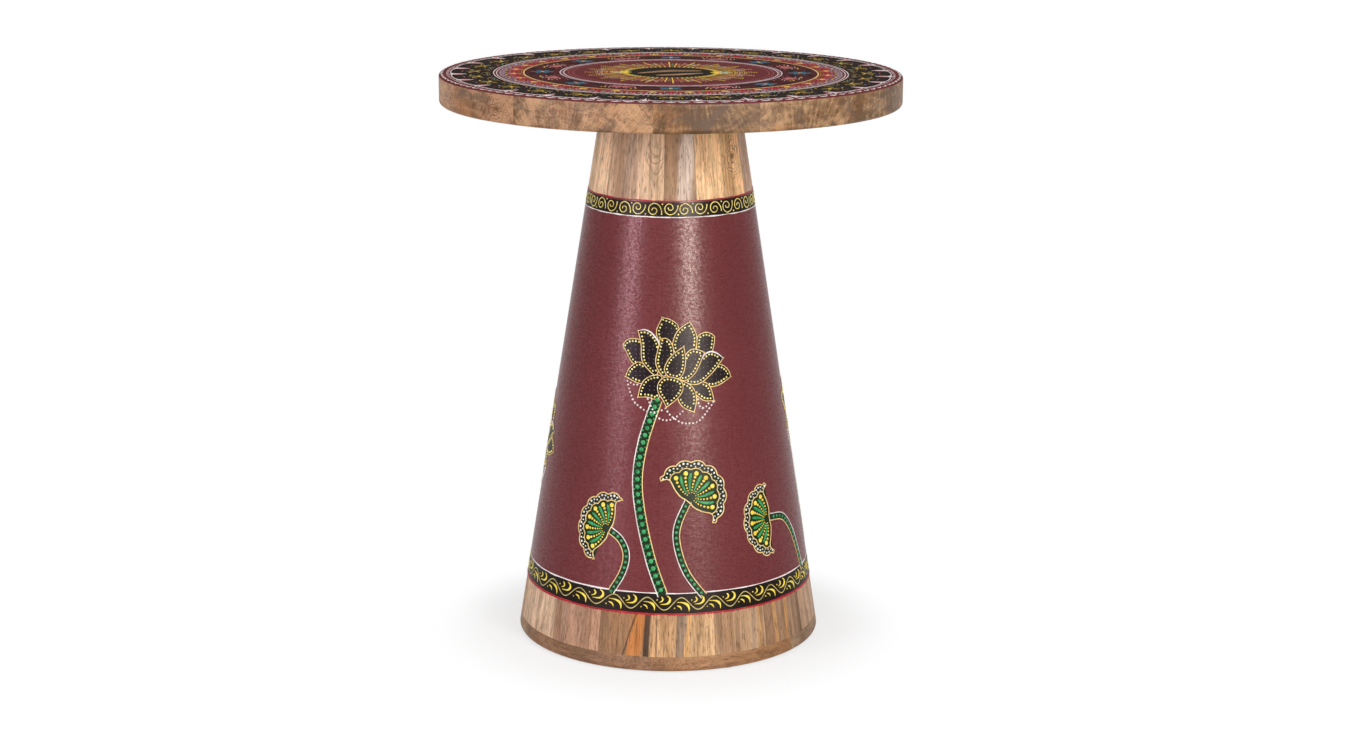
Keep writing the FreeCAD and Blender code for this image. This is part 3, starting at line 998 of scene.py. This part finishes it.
for fold in FOLDS:
    points = flow(fold)
    swell = [0.25 + 0.45 * math.sin(math.pi * place / (len(points) - 1)) for place in range(len(points))]
    fold_strokes.append([(x, y, half) for (x, y), half in zip(points, swell)])
garland_dots = []
for garland in GARLANDS:
    for spot in spaced(flow(garland), GARLAND_PITCH):
        garland_dots.append((*spot, LOTUS_HAND.uniform(0.75, 0.95)))

heart_across, heart_tall = FLOWER_HEART
heart = [Vector((heart_across * math.sin(a / 2), heart_tall * math.cos(a / 2))) for a in range(12)]
# Pictures in the order in which they are painted: colour, picture, lift and how proud it stands, in mm.
flower_pictures = (
    ("black", slabs([heart, *petal_shapes]), 0.30, 0.25), ("cream", brush(petal_lines), 0.42, 0.25),
    ("gold", dots(petal_dots), 0.48, 0.25), ("rose", dots(petal_faint, 6), 0.48, 0.1),
    ("white", brush(fold_strokes), 0.48, 0.25), ("white", dots(garland_dots), 0.52, 0.25),
)
lotus_finishes = {
    "black": (PETAL_BLACK, "black_paint"), "cream": (CREAM, "gold_paint"), "gold": (PALE_GOLD, "gold_paint"),
    "rose": (ROSE_GREY, "white_paint"), "white": (WHITE, "white_paint"), "green": (GREEN, "green_paint"),
    "ground": (LEAF_BLACK, "black_paint"),
}
lotus_pieces = {colour: bmesh.new() for colour in lotus_finishes}
for turn, height in LOTUSES:
    drop = (height - STEM_BELOW_FLOWER - STEM_FOOT) / (MAIN_STEM[0][1] - STEM_FOOT)
    stem = flow([(x, STEM_FOOT + (y - STEM_FOOT) * drop) for x, y in MAIN_STEM])
    white_edge, cream_edge = stem_edges(stem, MAIN_STEM_HALF, MAIN_STEM_LINE)
    beads = [(x, y, LOTUS_HAND.uniform(2.2, 2.5)) for x, y in spaced(stem, BEAD_PITCH)]
    for offset in (SIDE_BEADS, -SIDE_BEADS):
        for x, y in spaced(beside(stem, offset), SIDE_BEAD_PITCH)[1::2]:
            beads.append((x, y, LOTUS_HAND.uniform(0.8, 1.0)))
        for x, y in spaced(beside(stem, 1.1 * offset), SIDE_BEAD_PITCH)[::2]:
            beads.append((x, y, LOTUS_HAND.uniform(0.4, 0.55)))
    stem_pictures = (
        ("ground", brush([line_of(spaced(stem, 3.0), MAIN_STEM_HALF)]), 0.22, 0.12),
        ("white", white_edge, 0.36, 0.25), ("cream", cream_edge, 0.36, 0.25),
        ("green", dots(beads, 9), 0.36, 0.25),
    )
    lay(lotus_pieces, flower_pictures, turn=turn, rise=height)
    lay(lotus_pieces, stem_pictures, turn=turn)
for colour, bm in lotus_pieces.items():
    new_piece(f"lotus_{colour}", bm, *lotus_finishes[colour])

# Seed pods
# Fan-shaped lotus pods on thin bent stems between the flowers, drawn with the same paints.
# Each has gold dots and green strokes spread from its stem and a scalloped dark rim with white dots.

YELLOW_TONES = srgb(254, 224, 92), srgb(238, 200, 70)
YELLOW = paint("yellow_brush", YELLOW_TONES)
POD_HAND = random.Random(47)
POD_ROWS = 7
POD_ROW_STEP = 26.0
POD_ROW_REACH = 20.8
POD_ROW_BEND = 0.42
POD_RIM = (29.2, 2.6)  # radius in the valleys of the scalloped rim, and how far its lobes stand out
POD_INNER_RIM = (23.2, 2.0)
POD_RIM_STEPS = 72
# The side of a pod from its rim to its base: degrees beyond its spread, and radius. The base is alike in all.
POD_SIDE = ((0, 29.5), (-9, 25.5), (-9, 21.5), (2, 16), (18, 11))
POD_BASE = (146, 6)
# Dots of a row from the stem to the large one at its end, and the green stroke beside: radius and half width.
POD_ROW_START = 4.0
POD_ROW_END = 18.0
POD_END_DOT = 2.1
POD_STROKE = ((4.5, 0.3), (10, 0.8), (15.5, 1.25), (19.6, 0.9), (20.6, 0.3))
POD_STEM_HALF = 2.9
POD_STEM_LINE = 0.39
POD_BEAD_PITCH = 4.8
# White dots on each lobe of a rim: degrees from the middle of the lobe, radius from the stem's end, size.
POD_PEARLS = (
    (0, 29.3, 1.15), (-7, 28.7, 0.95), (7, 28.7, 0.95), (13, 27.0, 0.75),
    (-4.5, 26.3, 0.65), (4.5, 26.3, 0.65),
)
# Height of the stem's end in mm, the way it opens in degrees from up, half its spread, its depth beside
# that of a round fan, and its stem.
PODS = {
    "low_left": (120.5, -67.0, 97.0, 0.88, ((4.1, -0.9), (15, -8), (21.2, -20.3), (19, -36), (9.8, -53.5))),
    "tall_right": (
        150.6, 40.0, 102.0, 0.98, ((-2.9, -3.4), (-12.5, -24), (-13, -42), (-5.5, -65), (9.2, -85)),
    ),
    "low_right": (122.2, -92.0, 102.0, 0.82, ((5.4, 0.6), (24, -3), (37.2, -17.1), (46, -36), (53.2, -56.5))),
}
POD_PLACES = (
    ("low_left", -27.9), ("tall_right", 10.0), ("low_right", 46.9),
    ("low_left", 152.0), ("tall_right", 189.0), ("low_right", 222.0),
)


def pod_rim(angle, valley, lobe):
    """Radius of a scalloped edge at an angle in degrees from the way the pod opens."""
    return valley + lobe * abs(math.cos(math.pi * angle / POD_ROW_STEP)) ** 0.7


def bent(angle, radius):
    """The angle of a row at a radius: the outer rows open wider next to the stem."""
    return angle * (1 + POD_ROW_BEND * (1 - radius / POD_ROW_REACH))


def draw_pod(opens, spread, deep, stem_points):
    """Pictures of a pod and its stem about the stem's end: (colour, picture, lift, proud)."""
    ahead = Vector((math.sin(math.radians(opens)), math.cos(math.radians(opens))))
    aside = Vector((ahead.y, -ahead.x))

    def at(angle, radius):
        """A point of the fan, which is flattened along the way it opens."""
        turn = math.radians(angle)
        return radius * (deep * math.cos(turn) * ahead + math.sin(turn) * aside)

    side = flow([*((spread + beyond, radius) for beyond, radius in POD_SIDE), POD_BASE], 5)
    right = [at(angle, radius) for angle, radius in side]
    left = [at(-angle, radius) for angle, radius in side]
    rim_end = spread - 4
    sweep = [rim_end - step * 2 * rim_end / POD_RIM_STEPS for step in range(POD_RIM_STEPS + 1)]
    rim = [at(angle, pod_rim(angle, *POD_RIM)) for angle in sweep]
    inner = [at(angle, pod_rim(angle, *POD_INNER_RIM)) for angle in sweep if abs(angle) < spread - 9]
    outline = [*right[::-1], *rim, *left]
    cream = [line_of([*outline, outline[0]], 0.48), line_of(inner, 0.42)]
    white = []
    lobes = math.ceil(spread / POD_ROW_STEP)
    for lobe in range(-lobes, lobes + 1):
        for shift, radius, size in POD_PEARLS:
            angle = lobe * POD_ROW_STEP + shift
            if abs(angle) < spread - 3:
                white.append((*at(angle, radius), size * POD_HAND.uniform(0.9, 1.1)))
    yellow = []
    for row in range(POD_ROWS):
        angle = (row - POD_ROWS // 2) * POD_ROW_STEP
        yellow.append((*at(angle, POD_ROW_REACH), POD_END_DOT))
        radius = POD_ROW_START
        while radius < POD_ROW_END:
            yellow.append((*at(bent(angle, radius), radius), 0.34 + 0.05 * radius))
            radius += 1.7 + 0.11 * radius
    green = []
    for row in range(POD_ROWS - 1):
        angle = (row - POD_ROWS // 2 + 0.5) * POD_ROW_STEP
        green.append([(*at(bent(angle, radius), radius), half) for radius, half in flow(POD_STROKE, 3)])
    stem = flow(stem_points)
    beads = [(x, y, POD_HAND.uniform(1.4, 1.65)) for x, y in spaced(stem, POD_BEAD_PITCH)[1:]]
    edges = stem_edges(stem, POD_STEM_HALF, POD_STEM_LINE)
    outer_edge, inner_edge = edges if opens > 0 else edges[::-1]
    return (
        ("ground", brush([line_of(spaced(stem, 2.5), POD_STEM_HALF)]), 0.22, 0.12),
        ("ground", slabs([outline], 3.0), 0.30, 0.25),
        ("cream", brush(cream), 0.42, 0.25), ("white", dots(white), 0.46, 0.25),
        ("yellow", dots(yellow, 10), 0.46, 0.25), ("green", brush(green), 0.40, 0.25),
        ("green", dots(beads, 10), 0.36, 0.25), ("white", outer_edge, 0.36, 0.25),
        ("cream", inner_edge, 0.36, 0.25),
    )


pod_pictures = {kind: draw_pod(*shape) for kind, (_, *shape) in PODS.items()}
pod_pieces = {colour: bmesh.new() for colour in ("ground", "cream", "yellow", "white", "green")}
for kind, turn in POD_PLACES:
    lay(pod_pieces, pod_pictures[kind], turn=turn, rise=PODS[kind][0])
pod_finishes = {**lotus_finishes, "yellow": (YELLOW, "gold_paint")}
for colour, bm in pod_pieces.items():
    new_piece(f"pod_{colour}", bm, *pod_finishes[colour])

# Painted tabletop
# A round oxblood coat over the boards, carried over the edge, with rings of black and dark red on it.
# Flowers, leaves, petals and dots in many flat colours fill the rings, drawn by hand round and round.

TOP_HAND = random.Random(71)
TOP_EDGE_ROUND = 2.5
TOP_ROUGH = 0.8
TOP_GLOSS = 0.03
TOP_COAT_PROUD = 0.12
TOP_COAT_INNER = 36.0
EDGE_DEGREES = (90, 75, 60, 45, 32)  # corners of the coat over the rounded edge, from the top down
EDGE_TUCK = (1.4, -1.6)  # the last corner, inside the wood: out from the flat and down from the top
MIDDLE_DISC = 36.6
MIDDLE_PROUD = 0.16
TOP_STROKE_LIFT = 0.16
TOP_DOT_LIFT = 0.20
TOP_LAYER = 0.01  # how much higher each paint lies than the one before
TOP_PROUD = 0.1
RAYS = 20
top_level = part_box("top_board_03")[1].z / MM
top_radius = cad_box[1].x / MM
flat_radius = top_radius - TOP_EDGE_ROUND
# Paints in the order in which they lie on each other.
TOP_PAINTS = {
    "black": (BLACK_TONES, "black_paint"),
    "dark_red": ((srgb(66, 26, 28), srgb(82, 34, 36)), "oxblood_paint"),
    "red": (RED_TONES, "red_paint"),
    "mauve": ((srgb(164, 150, 162), srgb(130, 112, 126)), "white_paint"),
    "tan": ((srgb(186, 146, 110), srgb(150, 112, 80)), "gold_paint"),
    "orange": ((srgb(216, 142, 66), srgb(184, 110, 48)), "gold_paint"),
    "olive": ((srgb(156, 130, 66), srgb(108, 90, 42)), "gold_paint"),
    "teal": ((srgb(70, 118, 142), srgb(48, 86, 106)), "blue_paint"),
    "pink": ((srgb(196, 118, 116), srgb(160, 84, 86)), "red_paint"),
    "green": (GREEN_TONES, "green_paint"),
    "cream": (CREAM_TONES, "gold_paint"),
    "yellow": (YELLOW_TONES, "gold_paint"),
    "sky": ((srgb(138, 176, 194), srgb(108, 148, 170)), "blue_paint"),
    "white": (WHITE_TONES, "white_paint"),
}
top_finishes = {}
for colour, (tones, _) in TOP_PAINTS.items():
    top_finishes[colour] = paint(f"{colour}_on_top", tones, TOP_ROUGH, TOP_GLOSS)
# Rings of paint: colour, inner and outer radius in mm, and how proud they stand.
TOP_RINGS = (
    ("black", 153.0, 189.5, 0.16), ("dark_red", 96.0, 126.5, 0.16), ("cream", 126.4, 127.6, 0.22),
    ("white", 152.5, 153.3, 0.22), ("white", 150.0, 150.7, 0.22), ("white", 95.4, 96.2, 0.22),
    ("white", 92.2, 92.9, 0.22),
)
# Strokes drawn round and round: colour, how many, turn in shares of a step, whether mirrored too, and
# points as (across, radius, half width) in mm. First the edge, then the black ring, the petals inside it,
# the dark ring and the middle.
TOP_STROKES = (
    ("white", 112, 0.0, False,
     ((-4.2, 197.0, 0.3), (-1.0, 197.8, 0.7), (2.2, 197.4, 0.55), (4.4, 196.0, 0.2))),
    ("white", 196, 0.0, False, ((0, 191.2, 0.3), (0, 193.6, 0.3))),
    ("white", 28, 0.5, False, ((0, 190.6, 2.6), (0, 186.0, 1.5), (0, 181.0, 0.7), (0, 176.0, 0.2))),
    ("white", 28, 0.0, True, ((0, 189.8, 0.4), (9, 189.6, 0.4), (17, 187.8, 0.5), (20.5, 184.0, 0.3))),
    ("pink", 28, 0.5, True, ((2.4, 188.0, 0.6), (3.8, 184.0, 1.1), (2.6, 179.0, 0.2))),
    ("olive", 28, 0.0, True, ((5.0, 157.0, 0.3), (8.6, 158.6, 1.1), (11.5, 162.0, 0.2))),
    ("mauve", 168, 0.5, False, ((0, 142.5, 0.4), (0, 145.5, 0.9), (0, 148.6, 0.6))),
    ("red", 28, 0.0, False, ((0, 131.0, 0.8), (0, 136.0, 3.3), (0, 140.5, 3.0), (0, 145.5, 0.4))),
    ("red", 28, 0.0, True, ((4.0, 131.0, 0.4), (8.0, 134.5, 1.8), (9.0, 140.0, 0.4))),
    ("pink", 28, 0.5, True, ((1.5, 131.0, 0.3), (3.0, 136.0, 1.1), (5.0, 140.5, 0.3))),
    ("orange", 28, 0.5, False, ((0, 129.0, 0.6), (0, 133.0, 2.4), (0, 138.5, 0.4))),
    ("black", 8, 0.0, True, ((9, 108, 0.6), (15, 104, 3.0), (22, 104, 2.4), (27, 108, 0.4))),
    ("black", 8, 0.0, True, ((9, 114, 0.6), (14, 119, 2.6), (20, 120, 2.0), (25, 117, 0.4))),
    ("yellow", 60, 0.25, False, ((0, 38.2, 0.3), (0, 40.5, 0.8), (0, 43.0, 0.3))),
)
# Flowers of pointed strokes: colour, how many, turn, radius of the middle, ways in degrees, and points of a
# stroke as (reach, half width).
TOP_FLOWERS = (
    ("olive", 28, 0.0, 167.5, (-105, -52, 0, 52, 105), ((2.2, 0.5), (5.8, 1.7), (9.4, 0.3))),
    ("yellow", 28, 0.5, 134.0, (-60, 0, 60), ((0.5, 0.5), (2.5, 1.1), (4.6, 0.3))),
    ("teal", 8, 0.0, 111.0, range(0, 360, 60), ((1.5, 0.8), (4.5, 2.3), (8.0, 1.7), (10.0, 0.5))),
    ("pink", 8, 0.5, 103.0, (-75, -50, -25, 0, 25, 50, 75), ((2.0, 0.4), (7.0, 1.3), (12.5, 0.3))),
    ("yellow", 2, 0.5, 43.0, range(0, 360, 45), ((3.0, 0.8), (6.0, 1.7), (9.0, 0.4))),
    ("sky", 2, 0.5, 46.0, range(0, 360, 60), ((0.0, 1.2), (2.2, 1.6), (4.4, 0.8))),
    ("mauve", 12, 0.5, 58.0, (-38, 38), ((1.0, 0.3), (4.0, 0.6), (7.0, 0.3))),
)
# Dots: colour, how many, turn, and spots as (across, radius, size). A spot off the middle has a twin.
TOP_SPOTS = (
    ("yellow", 28, 0.0, ((0, 167.5, 1.7), (9, 173.5, 0.8))),
    ("mauve", 28, 0.0, ((12, 172, 0.9), (0, 180, 0.9), (14, 158, 0.9))),
    ("red", 28, 0.0, ((0, 155.6, 1.0), (6, 180.5, 0.8))),
    ("green", 28, 0.5, ((0, 158.0, 1.1),)),
    ("tan", 28, 0.5, ((0, 163.0, 0.9), (4.5, 156.4, 0.7))),
    ("white", 56, 0.0, ((0, 144.4, 0.7), (3.6, 147.0, 0.5))),
    ("yellow", 56, 0.5, ((0, 142.4, 0.9),)),
    ("orange", 168, 0.0, ((0, 129.2, 0.7),)),
    ("mauve", 84, 0.5, ((0, 139.4, 0.8), (0, 135.6, 0.7))),
    ("olive", 168, 0.5, ((0, 131.4, 0.55),)),
    ("mauve", 28, 0.5, ((0, 141.0, 1.0), (3.4, 139.8, 0.9), (6.4, 141.2, 0.8))),
    ("tan", 28, 0.0, ((4.8, 142.6, 0.7), (4.0, 138.4, 0.6))),
    ("yellow", 8, 0.0, ((0, 111, 2.0), (30, 111, 0.9), (34, 111, 0.9))),
    ("white", 8, 0.5, ((0, 117.6, 0.7), (7.5, 115.0, 0.7), (13.0, 109.4, 0.7))),
    ("pink", 8, 0.5, ((0, 99.5, 0.8), (9, 100, 0.8), (16, 101, 0.8))),
    ("mauve", 180, 0.0, ((0, 94.1, 0.5),)),
    ("green", 60, 0.75, ((0, 37.9, 0.7),)),
    ("tan", 104, 0.0, ((0, 52.0, 0.6),)),
    ("orange", 112, 0.5, ((0, 56.0, 0.6),)),
    ("tan", 120, 0.0, ((0, 60.0, 0.6),)),
    ("mauve", 126, 0.5, ((0, 64.0, 0.55),)),
    ("pink", 150, 0.0, ((0, 88.4, 0.5),)),
    ("pink", 140, 0.5, ((0, 84.8, 0.45),)),
)
# Dotted rays about the middle: colour, how far they reach in mm.
TOP_BURST = (
    ("yellow", 74.0), ("red", 63.0), ("tan", 70.0), ("orange", 61.0), ("yellow", 67.0), ("green", 60.0),
)
BURST_START = 44.6
BURST_PITCH = 2.1
# Hatched leaves on the middle disc: start, bend and end of the spine, and half width.
TOP_LEAVES = (((-29, -7), (-4, 9), (27, 11), 8.5), ((-13, -21), (8, -14), (28, -5), 6.5))


def on_top(across, up, out, turn):
    """Lays a point of a flat picture on the tabletop and over its rounded edge: across is +X, up is +Y."""
    reach = max(math.hypot(across, up), 0.001)
    bend = max(0.0, reach - flat_radius) / TOP_EDGE_ROUND
    radius = min(reach, flat_radius) + (TOP_EDGE_ROUND + out) * math.sin(bend)
    height = top_level - TOP_EDGE_ROUND + (TOP_EDGE_ROUND + out) * math.cos(bend)
    return Vector((across * radius / reach, up * radius / reach, height)) * MM


def around(motif, count, offset):
    """Copies of a stroke or of a group of spots round the top; a point is (across, radius, half width)."""
    copies = []
    for number in range(count):
        turn = 2 * math.pi * (number + offset) / count + TOP_HAND.uniform(-0.003, 0.003)
        size = TOP_HAND.uniform(0.93, 1.05)
        copy = []
        for across, radius, half in motif:
            x = radius * math.sin(turn) + size * across * math.cos(turn)
            y = -radius * math.cos(turn) + size * across * math.sin(turn)
            copy.append((x, y, size * half))
        copies.append(copy)
    return copies


edge_arc = []
reach = TOP_EDGE_ROUND + TOP_COAT_PROUD
for degrees in EDGE_DEGREES:
    turn = math.radians(degrees)
    height = top_level - TOP_EDGE_ROUND + reach * math.sin(turn)
    edge_arc.append((flat_radius + reach * math.cos(turn), height))
edge_arc.append((flat_radius + EDGE_TUCK[0], top_level + EDGE_TUCK[1]))
sunk = top_level - SKIN_SUNK
inner_edge = (TOP_COAT_INNER, sunk), (TOP_COAT_INNER, top_level + TOP_COAT_PROUD)
TOP_OXBLOOD = oxblood("oxblood_top", level=1.0, seams=0.0, rough=TOP_ROUGH, gloss=TOP_GLOSS)
bm = turned([*inner_edge, *edge_arc, (flat_radius, sunk)])
new_piece("top_oxblood_coat", bm, TOP_OXBLOOD, "oxblood_paint")
bm = bmesh.new()
bmesh.ops.create_cone(
    bm, cap_ends=True, segments=ROUND_STEPS, radius1=MIDDLE_DISC * MM, radius2=MIDDLE_DISC * MM,
    depth=(MIDDLE_PROUD + SKIN_SUNK) * MM,
    matrix=Matrix.Translation((0, 0, (top_level + (MIDDLE_PROUD - SKIN_SUNK) / 2) * MM)),
)
new_piece("top_middle_disc", bm, top_finishes["black"], "black_paint")
for number, (colour, low, high, proud) in enumerate(TOP_RINGS, 1):
    bm = turned([(radius, top_level + lift) for radius, lift in skin(low, high, proud)])
    new_piece(f"top_ring_{number}_{colour}", bm, top_finishes[colour], TOP_PAINTS[colour][1])

top_strokes = {colour: [] for colour in TOP_PAINTS}
top_spots = {colour: [] for colour in TOP_PAINTS}
for colour, count, offset, mirrored, points in TOP_STROKES:
    stroke = flow(points, 2)
    top_strokes[colour] += around(stroke, count, offset)
    if mirrored:
        twin = [(-across, radius, half) for across, radius, half in stroke]
        top_strokes[colour] += around(twin, count, offset)
for colour, count, offset, middle, ways, reaches in TOP_FLOWERS:
    for way in ways:
        x, y = math.sin(math.radians(way)), math.cos(math.radians(way))
        ray = [(reach * x, middle + reach * y, half) for reach, half in flow(reaches, 2)]
        top_strokes[colour] += around(ray, count, offset)
for colour, count, offset, spots in TOP_SPOTS:
    twins = [(-across, radius, size) for across, radius, size in spots if across]
    top_spots[colour] += sum(around([*spots, *twins], count, offset), [])
for number, (colour, reach) in enumerate(TOP_BURST):
    radius = BURST_START
    while radius < reach:
        half = 0.42 + 0.01 * (radius - BURST_START)
        step = (number + 0.5) / len(TOP_BURST)
        top_spots[colour] += sum(around([(0, radius, half)], RAYS, step), [])
        radius += BURST_PITCH
for start, bend, end, half in TOP_LEAVES:
    spine = flow([start, bend, end], 12)
    for place in range(1, len(spine) - 1):
        swell = half * math.sin(math.pi * place / (len(spine) - 1)) ** 0.8
        x, y = spine[place]
        hatch = (x - 0.5 * swell, y - swell, 0.3), (x, y, 0.75), (x + 0.5 * swell, y + swell, 0.3)
        top_strokes["tan"].append(hatch)

for order, (colour, (_, slot)) in enumerate(TOP_PAINTS.items()):
    if top_strokes[colour] or top_spots[colour]:
        bm = bmesh.new()
        if top_strokes[colour]:
            lift = TOP_STROKE_LIFT + TOP_LAYER * order
            stamp(bm, brush(top_strokes[colour], 1), on_top, lift, TOP_PROUD)
        if top_spots[colour]:
            lift = TOP_DOT_LIFT + TOP_LAYER * order
            stamp(bm, dots(top_spots[colour], 7), on_top, lift, TOP_PROUD)
        new_piece(f"top_{colour}", bm, top_finishes[colour], slot)

# Stage
# A plain white floor that runs out of sight, under soft boxes at both sides, in front and overhead.
# Two more boxes show only as sheens in the gloss of the cone. The camera stands in front, as in the photo.

FLOOR_SIZE = 40.0
KEEP_SHADOW = 0.33  # how much of the floor's own shade shows next to the table
SHADE_NEAR = 0.14  # metres from the table's axis
SHADE_FAR = 0.22
FILL = 0.15
LAMP_AIM = Vector((0, 0, 0.28))
floor_mesh = bmesh.new()
bmesh.ops.create_grid(floor_mesh, x_segments=1, y_segments=1, size=FLOOR_SIZE / 2)
floor_data = bpy.data.meshes.new("floor")
floor_mesh.to_mesh(floor_data)
floor_mesh.free()
floor = bpy.data.objects.new("floor", floor_data)
bpy.context.scene.collection.objects.link(floor)


def seen_rays(owner):
    """1 for rays that show a surface as it looks, straight, mirrored or through glass, and 0 for light."""
    rays = owner.node_tree.nodes.new("ShaderNodeLightPath").outputs
    seen = work(owner, "MAXIMUM", rays["Is Camera Ray"], rays["Is Glossy Ray"])
    return work(owner, "MAXIMUM", seen, rays["Is Transmission Ray"])


floor_finish = new_finish(
    "white_floor", Base_Color=srgb(255, 255, 255), Roughness=0.9, Specular_IOR_Level=0.1,
)
floor_tree = floor_finish.node_tree
away = length_of(floor_finish, place_on(floor_finish))
glow_share = span(floor_finish, away, SHADE_NEAR, SHADE_FAR, 1.0 - KEEP_SHADOW, 1.0)
glow_share = work(floor_finish, "MULTIPLY", glow_share, seen_rays(floor_finish))
glow = floor_tree.nodes.new("ShaderNodeEmission")
blend = floor_tree.nodes.new("ShaderNodeMixShader")
feed(floor_finish, blend.inputs[0], glow_share)
feed(floor_finish, blend.inputs[1], floor_tree.nodes["Principled BSDF"].outputs[0])
feed(floor_finish, blend.inputs[2], glow.outputs[0])
feed(floor_finish, floor_tree.nodes["Material Output"].inputs["Surface"], blend.outputs[0])
floor_data.materials.append(floor_finish)

world = bpy.data.worlds.new("studio")
world.use_nodes = True
background = world.node_tree.nodes["Background"]
background.inputs["Color"].default_value = (1, 1, 1, 1)
feed(world, background.inputs["Strength"], span(world, seen_rays(world), 0.0, 1.0, FILL, 1.0))
bpy.context.scene.world = world


def soft_box(name, side, distance, height, width, tall, watts, tint=(1, 1, 1), lights=True, mirrored=True):
    """A soft box turned to the table; side is in degrees from the front, towards +X.

    It lights the table, or is mirrored in its gloss, or both."""
    lamp = bpy.data.lights.new(name, "AREA")
    lamp.shape = "RECTANGLE"
    lamp.size = width
    lamp.size_y = tall
    lamp.energy = watts
    lamp.color = tint
    holder = bpy.data.objects.new(name, lamp)
    holder.visible_diffuse = lights
    holder.visible_glossy = mirrored
    turn = math.radians(side)
    spot = Vector((distance * math.sin(turn), -distance * math.cos(turn), height))
    facing = (LAMP_AIM - spot).to_track_quat("-Z", "Y").to_matrix().to_4x4()
    holder.matrix_world = Matrix.Translation(spot) @ facing
    bpy.context.scene.collection.objects.link(holder)


# Side in degrees, distance and height in metres, width and height of the box in metres, and watts.
soft_box("right_box", 34, 2.4, 1.05, 0.7, 0.8, 30.5, mirrored=False)
soft_box("left_box", -52, 2.4, 1.02, 0.7, 0.8, 20, mirrored=False)
soft_box("front_box", -6, 3.2, 1.10, 1.6, 0.8, 9.5, mirrored=False)
soft_box("top_box", 0, 0.6, 2.6, 2.2, 2.2, 25)
soft_box("right_sheen", 24, 2.4, 1.1, 0.6, 1.2, 330, tint=(1.0, 0.84, 0.75), lights=False)
soft_box("left_sheen", -48, 2.4, 0.95, 0.7, 1.3, 120, tint=(1.0, 0.78, 0.88), lights=False)

SENSOR_WIDTH = 36.0
LENS = 66.64
CAMERA_PLACE = Vector((0.0, -2.1858, 0.7626))
CAMERA_PAN = 0.0057
CAMERA_PITCH = 0.2385
CAMERA_ROLL = 0.0065
camera_lens = bpy.data.cameras.new("camera")
camera_lens.sensor_fit = "HORIZONTAL"
camera_lens.sensor_width = SENSOR_WIDTH
camera_lens.lens = LENS
camera = bpy.data.objects.new("camera", camera_lens)
camera.matrix_world = (
    Matrix.Translation(CAMERA_PLACE)
    @ Matrix.Rotation(-CAMERA_PAN, 4, "Z")
    @ Matrix.Rotation(math.pi / 2 - CAMERA_PITCH, 4, "X")
    @ Matrix.Rotation(CAMERA_ROLL, 4, "Z")
)
bpy.context.scene.collection.objects.link(camera)
bpy.context.scene.camera = camera
bpy.context.scene.view_settings.view_transform = "Standard"
